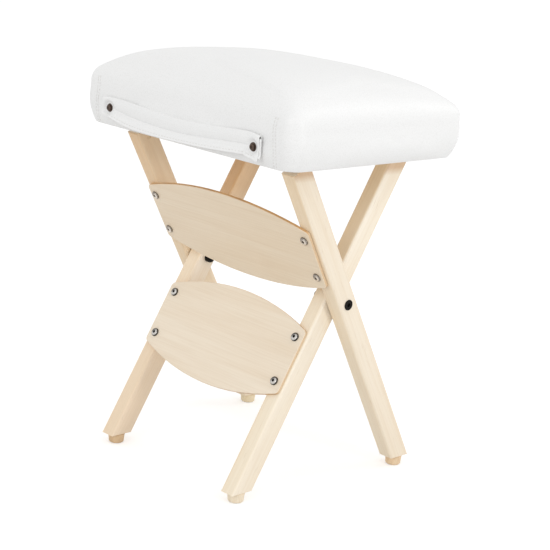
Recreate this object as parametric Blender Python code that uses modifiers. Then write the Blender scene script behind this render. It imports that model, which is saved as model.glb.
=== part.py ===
"""Folding wooden stool: two crossed leg frames, two plywood braces and a padded seat with a carry strap."""

import math

import bmesh
import bpy
from mathutils import Matrix, Vector

# Sizes are in metres and angles in degrees. +X runs from the handle end of the seat to its other end,
# -Y is the near side and +Z is up. The origin is on the floor, under the middle of the stool.

# Fits
TOUCH_GAP = 0.0003
HOLE_CLEARANCE = 0.0003
RUN_CLEARANCE = 0.0005

# Legs
LEG_WIDTH = 0.0295
LEG_THICKNESS = 0.0225
LEG_EDGE_RADIUS = 0.003
LEG_END_EASE = 0.0009
LEG_SIDE_GAP = 0.002
OUTER_LEG_Y = 0.1425
PIVOT_HEIGHT = 0.2415
PIVOT_SETBACK = 0.0068
LEG_TOP_INSET = 0.03765

# Feet
FOOT_RADIUS = 0.011
FOOT_HEIGHT = 0.0125
FOOT_TAPER = 0.0010
FOOT_CHAMFER = 0.0012
FOOT_PEG_RADIUS = 0.0045
FOOT_PEG_LENGTH = 0.012

# Brace plates, with heights measured along the legs from the pivot
PLATE_THICKNESS = 0.0045
PLATE_SIDE_HALF = 0.0420
PLATE_RISE = 0.0235
PLATE_CORNER_RADIUS = 0.006
PLATE_EDGE_EASE = 0.0007
UPPER_PLATE_HALF_WIDTH = 0.1485
UPPER_PLATE_CENTRE = 0.0815
UPPER_SCREW_Y = 0.1384
UPPER_SCREW_HEIGHTS = (0.0543, 0.1102)
LOWER_PLATE_HALF_WIDTH = 0.127
LOWER_PLATE_CENTRE = -0.0940
LOWER_SCREW_Y = 0.1146
LOWER_SCREW_HEIGHTS = (-0.0630, -0.1230)

# Plate screws
SCREW_HEAD_RADIUS = 0.0056
SCREW_HEAD_HEIGHT = 0.0026
SCREW_SHANK_RADIUS = 0.0020
SCREW_SHANK_LENGTH = 0.022
SCREW_TIP_LENGTH = 0.004

# Pivot bolts, cap nuts and spacer washers
BOLT_RADIUS = 0.004
BOLT_HEAD_RADIUS = 0.007
BOLT_HEAD_HEIGHT = 0.0045
BOLT_HEAD_ROUND = 0.0016
BOLT_SOCKET_RADIUS = 0.0032
BOLT_SOCKET_DEPTH = 0.0026
BOLT_NUT_ENGAGEMENT = 0.006
NUT_RADIUS = 0.0065
NUT_COLLAR_HEIGHT = 0.005
NUT_DOME_HEIGHT = 0.004
WASHER_THICKNESS = 0.0014
WASHER_RADIUS = 0.010

# Seat board and handle rail
SEAT_UNDERSIDE = 0.4230
BOARD_THICKNESS = 0.012
BOARD_CORNER_RADIUS = 0.016
RAIL_DEPTH = 0.022
RAIL_HEIGHT = 0.026
RAIL_HALF_LENGTH = 0.150

# Cushion
CUSHION_HALF_X = 0.1530
CUSHION_HALF_Y = 0.1920
CUSHION_SIDE_HEIGHT = 0.0436
CUSHION_CROWN = 0.0612
CUSHION_CORNER_RADIUS = 0.022
CUSHION_DRAW_X = 0.0080
CUSHION_DRAW_Y = 0.0090
CUSHION_RIM = 0.0050
CUSHION_SHOULDER_POWER = 3.06
CUSHION_SHOULDER_ROOT = 2.65
CUSHION_CORNER_FULLNESS = 1.74
CUSHION_DIVISIONS = 16
CUSHION_SIDE_ROWS = 5

# Carry strap, folded lengthwise over its top edge, with its screws and cup washers
STRAP_THICKNESS = 0.0009
STRAP_HALF_LENGTH = 0.1430
STRAP_MIDDLE_GAP = 0.0012
STRAP_END_GAP = 0.0036
STRAP_PRESSED_GAP = 0.0011
STRAP_PRESSED_REACH = 0.0085
STRAP_PRESSED_FADE = 0.0050
STRAP_LOWER_FLARE = 0.0032
STRAP_END_FLARE = 0.0016
STRAP_SCREW_Y = 0.1313
STRAP_SCREW_RISE = 0.0236
STRAP_SCREW_SKEW = 0.0013
STRAP_WASHER_RADIUS = 0.0054
STRAP_WASHER_THICKNESS = 0.0009
STRAP_HEAD_RADIUS = 0.0042
STRAP_HEAD_HEIGHT = 0.0020
STRAP_SHANK_RADIUS = 0.0020
STRAP_SHANK_LENGTH = 0.034

# Seat hinge: lug under the board, pin in the outer leg
HINGE_DROP = 0.016
HINGE_PLATE_THICKNESS = 0.002
HINGE_PLATE_HALF_X = 0.029
HINGE_PLATE_HALF_Y = 0.0105
HINGE_PLATE_CORNER = 0.003
HINGE_LUG_RADIUS = 0.007
HINGE_LUG_THICKNESS = 0.004
HINGE_PIN_RADIUS = 0.0025
HINGE_PIN_BLIND = 0.004
HINGE_SCREW_X = 0.0225
HINGE_SLOT_CLEARANCE = 0.001

# Screws into the underside of the board
BOARD_SCREW_HEAD_RADIUS = 0.0038
BOARD_SCREW_HEAD_HEIGHT = 0.0020
BOARD_SCREW_RADIUS = 0.0018
BOARD_SCREW_GRIP = 0.009

# Stop batten under the board
BATTEN_HEIGHT = 0.0145
BATTEN_WIDTH = 0.020
BATTEN_HALF_LENGTH = 0.119
BATTEN_EDGE_EASE = 0.0010
BATTEN_SCREW_Y = 0.095

# Facets
ROUND_STEPS = 20
SMALL_ROUND_STEPS = 14
FILLET_STEPS = 4
ARC_STEPS = 16
LEG_EDGE_STEPS = 3
STRAP_SPANS = 44
STRAP_FACE_ROWS = 8
STRAP_FOLD_STEPS = 5
STRAP_BACK_ROWS = 4
SMOOTH_ANGLE = 38.0

# Derived places
INNER_LEG_Y = OUTER_LEG_Y - LEG_THICKNESS - LEG_SIDE_GAP
STRAP_BACK_OFFSET = TOUCH_GAP + STRAP_THICKNESS / 2
STRAP_FACE_OFFSET = STRAP_BACK_OFFSET + STRAP_PRESSED_GAP + STRAP_THICKNESS / 2
STRAP_WASHER_OFFSET = STRAP_FACE_OFFSET + TOUCH_GAP
STRAP_HEAD_OFFSET = STRAP_WASHER_OFFSET + STRAP_WASHER_THICKNESS + TOUCH_GAP
HANDLE_DEPTH = STRAP_HEAD_OFFSET + STRAP_HEAD_HEIGHT
SEAT_CENTRE_X = HANDLE_DEPTH / 2
BOARD_HALF_X = CUSHION_HALF_X - CUSHION_DRAW_X - CUSHION_RIM
BOARD_HALF_Y = CUSHION_HALF_Y - CUSHION_DRAW_Y - CUSHION_RIM
PIVOT = Vector((SEAT_CENTRE_X + PIVOT_SETBACK, 0.0, PIVOT_HEIGHT))
HINGE_HEIGHT = SEAT_UNDERSIDE - HINGE_DROP
LEG_TOP_SPREAD = BOARD_HALF_X - PIVOT_SETBACK - LEG_TOP_INSET
TILT = math.atan2(LEG_TOP_SPREAD, HINGE_HEIGHT - PIVOT_HEIGHT)
HINGE_REACH = math.hypot(LEG_TOP_SPREAD, HINGE_HEIGHT - PIVOT_HEIGHT)
HINGE = Vector((PIVOT.x - LEG_TOP_SPREAD, 0.0, HINGE_HEIGHT))
LEG_FOOT_GAP = FOOT_HEIGHT + TOUCH_GAP
OUTER_TOP_REACH = HINGE_DROP - HINGE_PLATE_THICKNESS - 2 * TOUCH_GAP - RUN_CLEARANCE
INNER_TOP_REACH = HINGE_DROP - TOUCH_GAP

PART_NAME = "folding_stool"
SIDES = (("near", -1), ("far", 1))


def clear_scene():
    for old in list(bpy.data.objects):
        bpy.data.objects.remove(old, do_unlink=True)


def new_collection(name):
    collection = bpy.data.collections.new(name)
    bpy.context.scene.collection.children.link(collection)
    return collection


clear_scene()
PARTS = new_collection(PART_NAME)
CUTTERS = new_collection(PART_NAME + "_cutters")


def make_material(name, colour, roughness, metallic=0.0):
    material = bpy.data.materials.new(name)
    material.use_nodes = True
    shader = material.node_tree.nodes["Principled BSDF"]
    shader.inputs["Base Color"].default_value = (*colour, 1.0)
    shader.inputs["Roughness"].default_value = roughness
    shader.inputs["Metallic"].default_value = metallic
    return material


LEG_WOOD = make_material("leg_maple", (0.83, 0.70, 0.52), 0.45)
PLATE_PLY = make_material("plate_plywood", (0.78, 0.64, 0.45), 0.45)
FOOT_WOOD = make_material("foot_beech", (0.66, 0.47, 0.27), 0.55)
BOARD_PLY = make_material("board_plywood", (0.68, 0.54, 0.36), 0.65)
RAIL_PINE = make_material("rail_pine", (0.72, 0.57, 0.37), 0.65)
COVER_WHITE = make_material("cover_white", (0.86, 0.86, 0.85), 0.5)
STRAP_WHITE = make_material("strap_white", (0.84, 0.84, 0.83), 0.5)
NICKEL = make_material("screw_nickel", (0.75, 0.74, 0.71), 0.25, 1.0)
BRONZE = make_material("screw_bronze", (0.16, 0.12, 0.09), 0.4, 0.8)
BLACK_STEEL = make_material("bolt_black", (0.02, 0.02, 0.02), 0.45, 0.6)
ZINC = make_material("hinge_zinc", (0.62, 0.63, 0.64), 0.35, 1.0)
NYLON = make_material("washer_nylon", (0.80, 0.79, 0.74), 0.5)


def new_empty(name, location, turn):
    empty = bpy.data.objects.new(name, None)
    PARTS.objects.link(empty)
    empty.location = location
    empty.rotation_euler = (0.0, turn, 0.0)
    return empty


OUTER_FRAME = new_empty("outer_frame_axis", PIVOT, -TILT)
INNER_FRAME = new_empty("inner_frame_axis", PIVOT, TILT)
SEAT_FRAME = new_empty("seat_axis", HINGE, 0.0)


def finish_mesh(work, name):
    mesh = bpy.data.meshes.new(name)
    bmesh.ops.recalc_face_normals(work, faces=work.faces)
    work.to_mesh(mesh)
    work.free()
    return mesh


def smooth(mesh):
    mesh.shade_smooth()
    mesh.set_sharp_from_angle(angle=math.radians(SMOOTH_ANGLE))


def add_part(name, mesh, material, parent, location=(0.0, 0.0, 0.0), rotation=(0.0, 0.0, 0.0)):
    part = bpy.data.objects.new(name, mesh)
    PARTS.objects.link(part)
    mesh.materials.append(material)
    part.parent = parent
    part.location = location
    part.rotation_euler = rotation
    return part


def add_cutter(name, mesh, parent, location=(0.0, 0.0, 0.0), rotation=(0.0, 0.0, 0.0)):
    cutter = bpy.data.objects.new(name, mesh)
    CUTTERS.objects.link(cutter)
    cutter.hide_render = True
    cutter.display_type = "WIRE"
    cutter.parent = parent
    cutter.location = location
    cutter.rotation_euler = rotation
    return cutter


def combine(part, tool, operation="DIFFERENCE"):
    boolean = part.modifiers.new(tool.name, "BOOLEAN")
    boolean.operation = operation
    boolean.solver = "EXACT"
    boolean.object = tool


def outline_mesh(name, points, thickness):
    """A flat outline in XY, made solid through Z, with its middle at Z 0."""
    curve = bpy.data.curves.new(name + "_outline", "CURVE")
    curve.dimensions = "2D"
    curve.fill_mode = "BOTH"
    curve.extrude = thickness / 2
    spline = curve.splines.new("POLY")
    spline.points.add(len(points) - 1)
    for corner, (x, y) in zip(spline.points, points):
        corner.co = (x, y, 0.0, 1.0)
    spline.use_cyclic_u = True
    holder = bpy.data.objects.new(name + "_outline", curve)
    bpy.context.scene.collection.objects.link(holder)
    graph = bpy.context.evaluated_depsgraph_get()
    mesh = bpy.data.meshes.new_from_object(holder.evaluated_get(graph))
    bpy.data.objects.remove(holder, do_unlink=True)
    work = bmesh.new()
    work.from_mesh(mesh)
    bmesh.ops.remove_doubles(work, verts=work.verts, dist=0.000001)
    bmesh.ops.dissolve_limit(work, angle_limit=0.001, verts=work.verts, edges=work.edges)
    bmesh.ops.recalc_face_normals(work, faces=work.faces)
    work.to_mesh(mesh)
    work.free()
    mesh.name = name
    return mesh


# Outlines drawn in XY are turned so that they stand in the XZ plane or in the YZ plane.
STAND_IN_XZ = Matrix.Rotation(math.radians(90.0), 4, "X")
STAND_IN_YZ = Matrix(((0, 0, 1, 0), (1, 0, 0, 0), (0, 1, 0, 0), (0, 0, 0, 1)))


def arc_points(centre, radius, start, stop, steps):
    turns = [start + (stop - start) * k / steps for k in range(steps + 1)]
    return [(centre[0] + radius * math.cos(t), centre[1] + radius * math.sin(t)) for t in turns]


def rounded_rectangle(half_x, half_y, radius):
    points = []
    for k, (sx, sy) in enumerate(((1, 1), (-1, 1), (-1, -1), (1, -1))):
        start = k * math.pi / 2
        centre = (sx * (half_x - radius), sy * (half_y - radius))
        points += arc_points(centre, radius, start, start + math.pi / 2, FILLET_STEPS)
    return points


def turned_mesh(name, profile):
    """A profile of (radius, height) points, from the top down its outer side, spun about Z."""
    work = bmesh.new()
    corners = [work.verts.new((radius, 0.0, height)) for radius, height in profile]
    for upper, lower in zip(corners, corners[1:]):
        work.edges.new((upper, lower))
    if profile[0][0] > 0.0:
        work.edges.new((corners[-1], corners[0]))
    mesh = bpy.data.meshes.new(name)
    work.to_mesh(mesh)
    work.free()
    return mesh


def add_turned(name, profile, material, parent, location, rotation, steps=ROUND_STEPS):
    part = add_part(name, turned_mesh(name, profile), material, parent, location, rotation)
    screw = part.modifiers.new("turn", "SCREW")
    screw.axis = "Z"
    screw.steps = steps
    screw.render_steps = steps
    screw.use_merge_vertices = True
    screw.merge_threshold = 0.00001
    screw.use_smooth_shade = True
    return part


def cylinder_mesh(name, radius, depth, steps=ROUND_STEPS):
    work = bmesh.new()
    bmesh.ops.create_cone(work, cap_ends=True, segments=steps, radius1=radius, radius2=radius, depth=depth)
    return finish_mesh(work, name)


def box_mesh(name, size):
    work = bmesh.new()
    bmesh.ops.create_cube(work, size=1.0)
    bmesh.ops.scale(work, vec=size, verts=work.verts)
    return finish_mesh(work, name)


# Turns that point a local +Z axis along another direction.
ALONG_MINUS_X = (0.0, math.radians(-90.0), 0.0)
ALONG_MINUS_Y = (math.radians(90.0), 0.0, 0.0)
ALONG_PLUS_Y = (math.radians(-90.0), 0.0, 0.0)


def outward(side):
    return ALONG_MINUS_Y if side < 0 else ALONG_PLUS_Y


def dome_profile(head_radius, head_height, shank_radius, shank_length, tip_length):
    """A domed head above Z 0 and a pointed shank below it."""
    quarter = [math.pi / 2 * k / FILLET_STEPS for k in range(FILLET_STEPS + 1)]
    dome = [(head_radius * math.sin(t), head_height * math.cos(t)) for t in quarter]
    dome[0] = (0.0, head_height)
    shank = [(shank_radius, 0.0), (shank_radius, tip_length - shank_length), (0.0, -shank_length)]
    return dome + shank


def leg_outline(lean, top_reach):
    """Outline across and along a leg. Its foot is level, and its top clears the seat as the seat turns.

    lean is 1 for an outer leg and -1 for an inner leg, which is its mirror image.
    """
    half = LEG_WIDTH / 2
    slope = math.tan(TILT)
    foot_middle = (LEG_FOOT_GAP - PIVOT_HEIGHT) / math.cos(TILT)
    level_end = HINGE_REACH + top_reach * math.cos(TILT) - (half - top_reach * math.sin(TILT)) * slope
    points = [(-half, foot_middle + half * slope), (half, foot_middle - half * slope), (half, level_end)]
    points += arc_points((0.0, HINGE_REACH), top_reach, math.pi / 2 - TILT, math.pi / 2, FILLET_STEPS)
    points.append((-half, HINGE_REACH + top_reach))
    return [(lean * x, y) for x, y in points]


def ease_leg_edges(mesh):
    """Marks the long edges for the full radius and the end edges for a light ease."""
    work = bmesh.new()
    work.from_mesh(mesh)
    weight = work.edges.layers.float.new("bevel_weight_edge")
    for edge in work.edges:
        run = edge.verts[1].co - edge.verts[0].co
        if abs(run.y) > LEG_THICKNESS / 2:
            upright = [abs(face.normal.x) for face in edge.link_faces]
            edge[weight] = LEG_END_EASE / LEG_EDGE_RADIUS if max(upright) > 0.99 else 0.0
        elif abs(run.z) > LEG_WIDTH * 2:
            edge[weight] = 1.0
        else:
            edge[weight] = LEG_END_EASE / LEG_EDGE_RADIUS
    work.to_mesh(mesh)
    work.free()


def add_leg(name, lean, y, top_reach, parent):
    mesh = outline_mesh(name, leg_outline(lean, top_reach), LEG_THICKNESS)
    mesh.transform(STAND_IN_XZ)
    ease_leg_edges(mesh)
    leg = add_part(name, mesh, LEG_WOOD, parent, (0.0, y, 0.0))
    ease = leg.modifiers.new("ease", "BEVEL")
    ease.width = LEG_EDGE_RADIUS
    ease.segments = LEG_EDGE_STEPS
    ease.limit_method = "WEIGHT"
    return leg


def build_foot(name, leg, parent, y, level):
    """A round foot under a leg, with its peg in the leg end; level turns it upright in the leaning frame."""
    place = (0.0, y, (FOOT_HEIGHT - PIVOT_HEIGHT) / math.cos(TILT))
    turn = (0.0, level, 0.0)
    base = -FOOT_HEIGHT
    profile = [
        (0.0, FOOT_PEG_LENGTH),
        (FOOT_PEG_RADIUS - FOOT_CHAMFER, FOOT_PEG_LENGTH),
        (FOOT_PEG_RADIUS, FOOT_PEG_LENGTH - FOOT_CHAMFER),
        (FOOT_PEG_RADIUS, 0.0),
        (FOOT_RADIUS - FOOT_CHAMFER, 0.0),
        (FOOT_RADIUS, -FOOT_CHAMFER),
        (FOOT_RADIUS - FOOT_TAPER, base + FOOT_CHAMFER),
        (FOOT_RADIUS - FOOT_TAPER - FOOT_CHAMFER, base),
        (0.0, base),
    ]
    add_turned(name, profile, FOOT_WOOD, parent, place, turn)
    depth = 2 * (FOOT_PEG_LENGTH + TOUCH_GAP)
    hole = cylinder_mesh(name + "_hole", FOOT_PEG_RADIUS + HOLE_CLEARANCE, depth)
    combine(leg, add_cutter(name + "_hole", hole, parent, place, turn))


def plate_outline(half_width):
    """A lens with bowed top and bottom edges, straight ends and rounded corners."""
    bow = (half_width ** 2 + PLATE_RISE ** 2) / (2 * PLATE_RISE)
    bow_y = PLATE_SIDE_HALF + PLATE_RISE - bow
    corner_x = half_width - PLATE_CORNER_RADIUS
    corner_y = bow_y + math.sqrt((bow - PLATE_CORNER_RADIUS) ** 2 - corner_x ** 2)
    blend = math.atan2(corner_y - bow_y, corner_x)
    top = arc_points((corner_x, corner_y), PLATE_CORNER_RADIUS, 0.0, blend, FILLET_STEPS)
    top += arc_points((0.0, bow_y), bow, blend, math.pi - blend, ARC_STEPS)[1:-1]
    top += arc_points((-corner_x, corner_y), PLATE_CORNER_RADIUS, math.pi - blend, math.pi, FILLET_STEPS)
    bottom = [(-x, -y) for x, y in top]
    return top + bottom


def build_plate(name, half_width, centre, screw_y, screw_heights, legs, parent):
    """A brace plate on the handle-end faces of two legs, with four screws through it."""
    mesh = outline_mesh(name, plate_outline(half_width), PLATE_THICKNESS)
    mesh.transform(STAND_IN_YZ)
    back = -LEG_WIDTH / 2 - TOUCH_GAP
    plate = add_part(name, mesh, PLATE_PLY, parent, (back - PLATE_THICKNESS / 2, 0.0, centre))
    ease = plate.modifiers.new("ease", "BEVEL")
    ease.width = PLATE_EDGE_EASE
    ease.segments = 1
    ease.limit_method = "ANGLE"
    ease.angle_limit = math.radians(60.0)
    front = back - PLATE_THICKNESS - TOUCH_GAP
    profile = dome_profile(
        SCREW_HEAD_RADIUS, SCREW_HEAD_HEIGHT, SCREW_SHANK_RADIUS, SCREW_SHANK_LENGTH, SCREW_TIP_LENGTH
    )
    for side_name, side in SIDES:
        for rank, height in zip(("inner", "outer"), screw_heights):
            screw_name = f"{name}_screw_{side_name}_{rank}"
            place = (front, side * screw_y, height)
            add_turned(screw_name, profile, NICKEL, parent, place, ALONG_MINUS_X, SMALL_ROUND_STEPS)
            depth = 2 * (SCREW_SHANK_LENGTH + TOUCH_GAP)
            hole = cylinder_mesh(screw_name + "_hole", SCREW_SHANK_RADIUS + HOLE_CLEARANCE, depth)
            cutter = add_cutter(screw_name + "_hole", hole, parent, place, ALONG_MINUS_X)
            combine(plate, cutter)
            combine(legs[side], cutter)


def build_pivot(side_name, side, outer_leg, inner_leg):
    """A socket-head bolt through both legs, a spacer washer between them and a cap nut inside."""
    head_y = side * (OUTER_LEG_Y + LEG_THICKNESS / 2 + TOUCH_GAP)
    through = 2 * TOUCH_GAP + 2 * LEG_THICKNESS + LEG_SIDE_GAP
    reach = through + BOLT_NUT_ENGAGEMENT
    round_centre = (BOLT_HEAD_RADIUS - BOLT_HEAD_ROUND, BOLT_HEAD_HEIGHT - BOLT_HEAD_ROUND)
    profile = [(0.0, BOLT_HEAD_HEIGHT)]
    profile += arc_points(round_centre, BOLT_HEAD_ROUND, math.pi / 2, 0.0, FILLET_STEPS)
    profile += [(BOLT_HEAD_RADIUS, 0.0), (BOLT_RADIUS, 0.0), (BOLT_RADIUS, -reach), (0.0, -reach)]
    bolt = add_turned(
        f"pivot_bolt_{side_name}", profile, BLACK_STEEL, OUTER_FRAME, (0.0, head_y, 0.0), outward(side)
    )
    socket = cylinder_mesh(f"pivot_socket_{side_name}", BOLT_SOCKET_RADIUS, 2 * BOLT_SOCKET_DEPTH, 6)
    socket_place = (0.0, head_y + side * BOLT_HEAD_HEIGHT, 0.0)
    combine(bolt, add_cutter(f"pivot_socket_{side_name}", socket, OUTER_FRAME, socket_place, outward(side)))

    bore = cylinder_mesh(f"pivot_bore_{side_name}", BOLT_RADIUS + HOLE_CLEARANCE, 2 * reach)
    cutter = add_cutter(f"pivot_bore_{side_name}", bore, OUTER_FRAME, (0.0, head_y, 0.0), outward(side))
    combine(outer_leg, cutter)
    combine(inner_leg, cutter)

    nut_y = side * (INNER_LEG_Y - LEG_THICKNESS / 2 - TOUCH_GAP)
    bore_radius = BOLT_RADIUS + HOLE_CLEARANCE
    bore_depth = BOLT_NUT_ENGAGEMENT + TOUCH_GAP
    quarter = [math.pi / 2 * k / FILLET_STEPS for k in range(FILLET_STEPS + 1)]
    nut_profile = [
        (NUT_RADIUS * math.sin(t), NUT_COLLAR_HEIGHT + NUT_DOME_HEIGHT * math.cos(t)) for t in quarter
    ]
    nut_profile[0] = (0.0, NUT_COLLAR_HEIGHT + NUT_DOME_HEIGHT)
    nut_profile += [(NUT_RADIUS, 0.0), (bore_radius, 0.0), (bore_radius, bore_depth), (0.0, bore_depth)]
    add_turned(
        f"cap_nut_{side_name}", nut_profile, BLACK_STEEL, OUTER_FRAME, (0.0, nut_y, 0.0), outward(-side)
    )

    gap_y = side * (OUTER_LEG_Y - LEG_THICKNESS / 2 - LEG_SIDE_GAP / 2)
    half = WASHER_THICKNESS / 2
    ring = [(WASHER_RADIUS, half), (WASHER_RADIUS, -half), (bore_radius, -half), (bore_radius, half)]
    add_turned(f"spacer_washer_{side_name}", ring, NYLON, OUTER_FRAME, (0.0, gap_y, 0.0), outward(side))


def in_seat(x, y, z):
    """A place given in the stool's frame, as seen from the seat's hinge axis."""
    return Vector((x, y, z)) - HINGE


def add_board_screw(name, x, y, under, parent_part, board):
    """A domed screw driven up through a piece whose underside is at a given height, into the board."""
    length = SEAT_UNDERSIDE - under + BOARD_SCREW_GRIP
    profile = dome_profile(
        BOARD_SCREW_HEAD_RADIUS, BOARD_SCREW_HEAD_HEIGHT, BOARD_SCREW_RADIUS, length, SCREW_TIP_LENGTH / 2
    )
    place = in_seat(x, y, under - TOUCH_GAP)
    turn = (math.radians(180.0), 0.0, 0.0)
    add_turned(name, profile, ZINC, SEAT_FRAME, place, turn, SMALL_ROUND_STEPS)
    hole = cylinder_mesh(name + "_hole", BOARD_SCREW_RADIUS + HOLE_CLEARANCE, 2 * (length + TOUCH_GAP))
    cutter = add_cutter(name + "_hole", hole, SEAT_FRAME, place, turn)
    combine(parent_part, cutter)
    combine(board, cutter)


def build_hinge(side_name, side, leg, board):
    """A lug screwed under the board, in a slot in the outer leg's top, on a pin that shows only inside."""
    y = side * OUTER_LEG_Y
    under = SEAT_UNDERSIDE - TOUCH_GAP - HINGE_PLATE_THICKNESS
    outline = rounded_rectangle(HINGE_PLATE_HALF_X, HINGE_PLATE_HALF_Y, HINGE_PLATE_CORNER)
    mesh = outline_mesh(f"hinge_lug_{side_name}", outline, HINGE_PLATE_THICKNESS)
    mesh.transform(Matrix.Translation((0.0, 0.0, under + HINGE_PLATE_THICKNESS / 2 - HINGE_HEIGHT)))
    lug = add_part(f"hinge_lug_{side_name}", mesh, ZINC, SEAT_FRAME, (0.0, y, 0.0))

    top = under - HINGE_HEIGHT + HINGE_PLATE_THICKNESS / 2
    tongue = arc_points((0.0, 0.0), HINGE_LUG_RADIUS, -math.pi, 0.0, 2 * FILLET_STEPS)
    tongue += [(HINGE_LUG_RADIUS, top), (-HINGE_LUG_RADIUS, top)]
    tongue_mesh = outline_mesh(f"hinge_tongue_{side_name}", tongue, HINGE_LUG_THICKNESS)
    tongue_mesh.transform(STAND_IN_XZ)
    combine(lug, add_cutter(f"hinge_tongue_{side_name}", tongue_mesh, SEAT_FRAME, (0.0, y, 0.0)), "UNION")

    left = -HINGE_LUG_RADIUS - HINGE_SLOT_CLEARANCE
    right = LEG_WIDTH
    bottom = HINGE_REACH - HINGE_LUG_RADIUS - HINGE_SLOT_CLEARANCE
    ceiling = HINGE_REACH + 2 * HINGE_DROP
    size = (right - left, HINGE_LUG_THICKNESS + 2 * RUN_CLEARANCE, ceiling - bottom)
    slot = box_mesh(f"hinge_slot_{side_name}", size)
    slot_place = ((left + right) / 2, y, (bottom + ceiling) / 2)
    combine(leg, add_cutter(f"hinge_slot_{side_name}", slot, OUTER_FRAME, slot_place))

    inside = y - side * LEG_THICKNESS / 2
    length = LEG_THICKNESS - HINGE_PIN_BLIND
    axis_place = (0.0, inside, HINGE_REACH)
    profile = [(0.0, length), (HINGE_PIN_RADIUS, length), (HINGE_PIN_RADIUS, 0.0), (0.0, 0.0)]
    add_turned(
        f"hinge_pin_{side_name}", profile, ZINC, OUTER_FRAME, axis_place, outward(side), SMALL_ROUND_STEPS
    )
    depth = 2 * (length + TOUCH_GAP)
    hole = cylinder_mesh(f"hinge_bore_{side_name}", HINGE_PIN_RADIUS + HOLE_CLEARANCE, depth)
    cutter = add_cutter(f"hinge_bore_{side_name}", hole, OUTER_FRAME, axis_place, outward(side))
    combine(leg, cutter)
    combine(lug, cutter)

    for end_name, end in (("handle_end", -1), ("far_end", 1)):
        name = f"hinge_screw_{side_name}_{end_name}"
        add_board_screw(name, HINGE.x + end * HINGE_SCREW_X, y, under, lug, board)


def build_batten(board):
    """A hardwood batten under the board; its sloping face stops the tops of the inner legs."""
    top = SEAT_UNDERSIDE - TOUCH_GAP
    bottom = top - BATTEN_HEIGHT
    face = LEG_WIDTH / 2 + TOUCH_GAP

    def face_x(z):
        along = (z - PIVOT.z + face * math.sin(TILT)) / math.cos(TILT)
        return PIVOT.x + face * math.cos(TILT) + along * math.sin(TILT)

    back = face_x(bottom) + BATTEN_WIDTH
    corners = [(face_x(bottom), bottom), (back, bottom), (back, top), (face_x(top), top)]
    outline = [(x - HINGE.x, z - HINGE.z) for x, z in corners]
    mesh = outline_mesh("stop_batten", outline, 2 * BATTEN_HALF_LENGTH)
    mesh.transform(STAND_IN_XZ)
    batten = add_part("stop_batten", mesh, LEG_WOOD, SEAT_FRAME)
    ease = batten.modifiers.new("ease", "BEVEL")
    ease.width = BATTEN_EDGE_EASE
    ease.segments = 1
    ease.limit_method = "ANGLE"
    middle = (face_x(top) + back) / 2
    for name, y in (("near", -BATTEN_SCREW_Y), ("middle", 0.0), ("far", BATTEN_SCREW_Y)):
        add_board_screw(f"batten_screw_{name}", middle, y, bottom, batten, board)


def shoulder(share):
    """Share of the crown's height that is left at a share of the way from the middle to an edge."""
    return max(0.0, 1.0 - abs(share) ** CUSHION_SHOULDER_POWER) ** (1.0 / CUSHION_SHOULDER_ROOT)


def crown_share(a, b):
    """Joins the two shoulders, so that the corners stay full but soft."""
    if max(abs(a), abs(b)) >= 1.0:
        return 0.0
    joined = shoulder(a) ** -CUSHION_CORNER_FULLNESS + shoulder(b) ** -CUSHION_CORNER_FULLNESS - 1.0
    return joined ** (-1.0 / CUSHION_CORNER_FULLNESS)


def corner_cut(share, half):
    """How far a side draws in near its end, so that it runs into the next side on an arc."""
    radius = CUSHION_CORNER_RADIUS
    corner = half - radius * (1.0 - math.sqrt(0.5))
    past = max(0.0, abs(share) * corner - (half - radius))
    return radius - math.sqrt(radius * radius - past * past)


def cushion_place(a, b, rise):
    """A place on the cushion; rise is 0 at the bottom edge and 1 at the shoulder."""
    slack = (1.0 - rise) ** 2
    half_x = CUSHION_HALF_X - CUSHION_DRAW_X * slack - corner_cut(b, CUSHION_HALF_Y)
    half_y = CUSHION_HALF_Y - CUSHION_DRAW_Y * slack - corner_cut(a, CUSHION_HALF_X)
    z = SEAT_UNDERSIDE + CUSHION_SIDE_HEIGHT * rise + CUSHION_CROWN * crown_share(a, b)
    return in_seat(SEAT_CENTRE_X + a * half_x, b * half_y, z)


def cushion_mesh():
    """A grid bowed into the crown, with its rim drawn down into the sides and closed underneath."""
    work = bmesh.new()
    along = work.verts.layers.float.new("along")
    across = work.verts.layers.float.new("across")
    bmesh.ops.create_grid(work, x_segments=CUSHION_DIVISIONS, y_segments=CUSHION_DIVISIONS, size=1.0)
    for vert in work.verts:
        vert[along] = math.sin(vert.co.x * math.pi / 2)
        vert[across] = math.sin(vert.co.y * math.pi / 2)
        vert.co = cushion_place(vert[along], vert[across], 1.0)
    rim = [edge for edge in work.edges if edge.is_boundary]
    for row in range(1, CUSHION_SIDE_ROWS + 1):
        drawn = bmesh.ops.extrude_edge_only(work, edges=rim)["geom"]
        for vert in drawn:
            if isinstance(vert, bmesh.types.BMVert):
                vert.co = cushion_place(vert[along], vert[across], 1.0 - row / CUSHION_SIDE_ROWS)
        rim = [edge for edge in drawn if isinstance(edge, bmesh.types.BMEdge) and edge.is_boundary]
    bmesh.ops.contextual_create(work, geom=rim)
    return finish_mesh(work, "seat_cushion")


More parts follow.
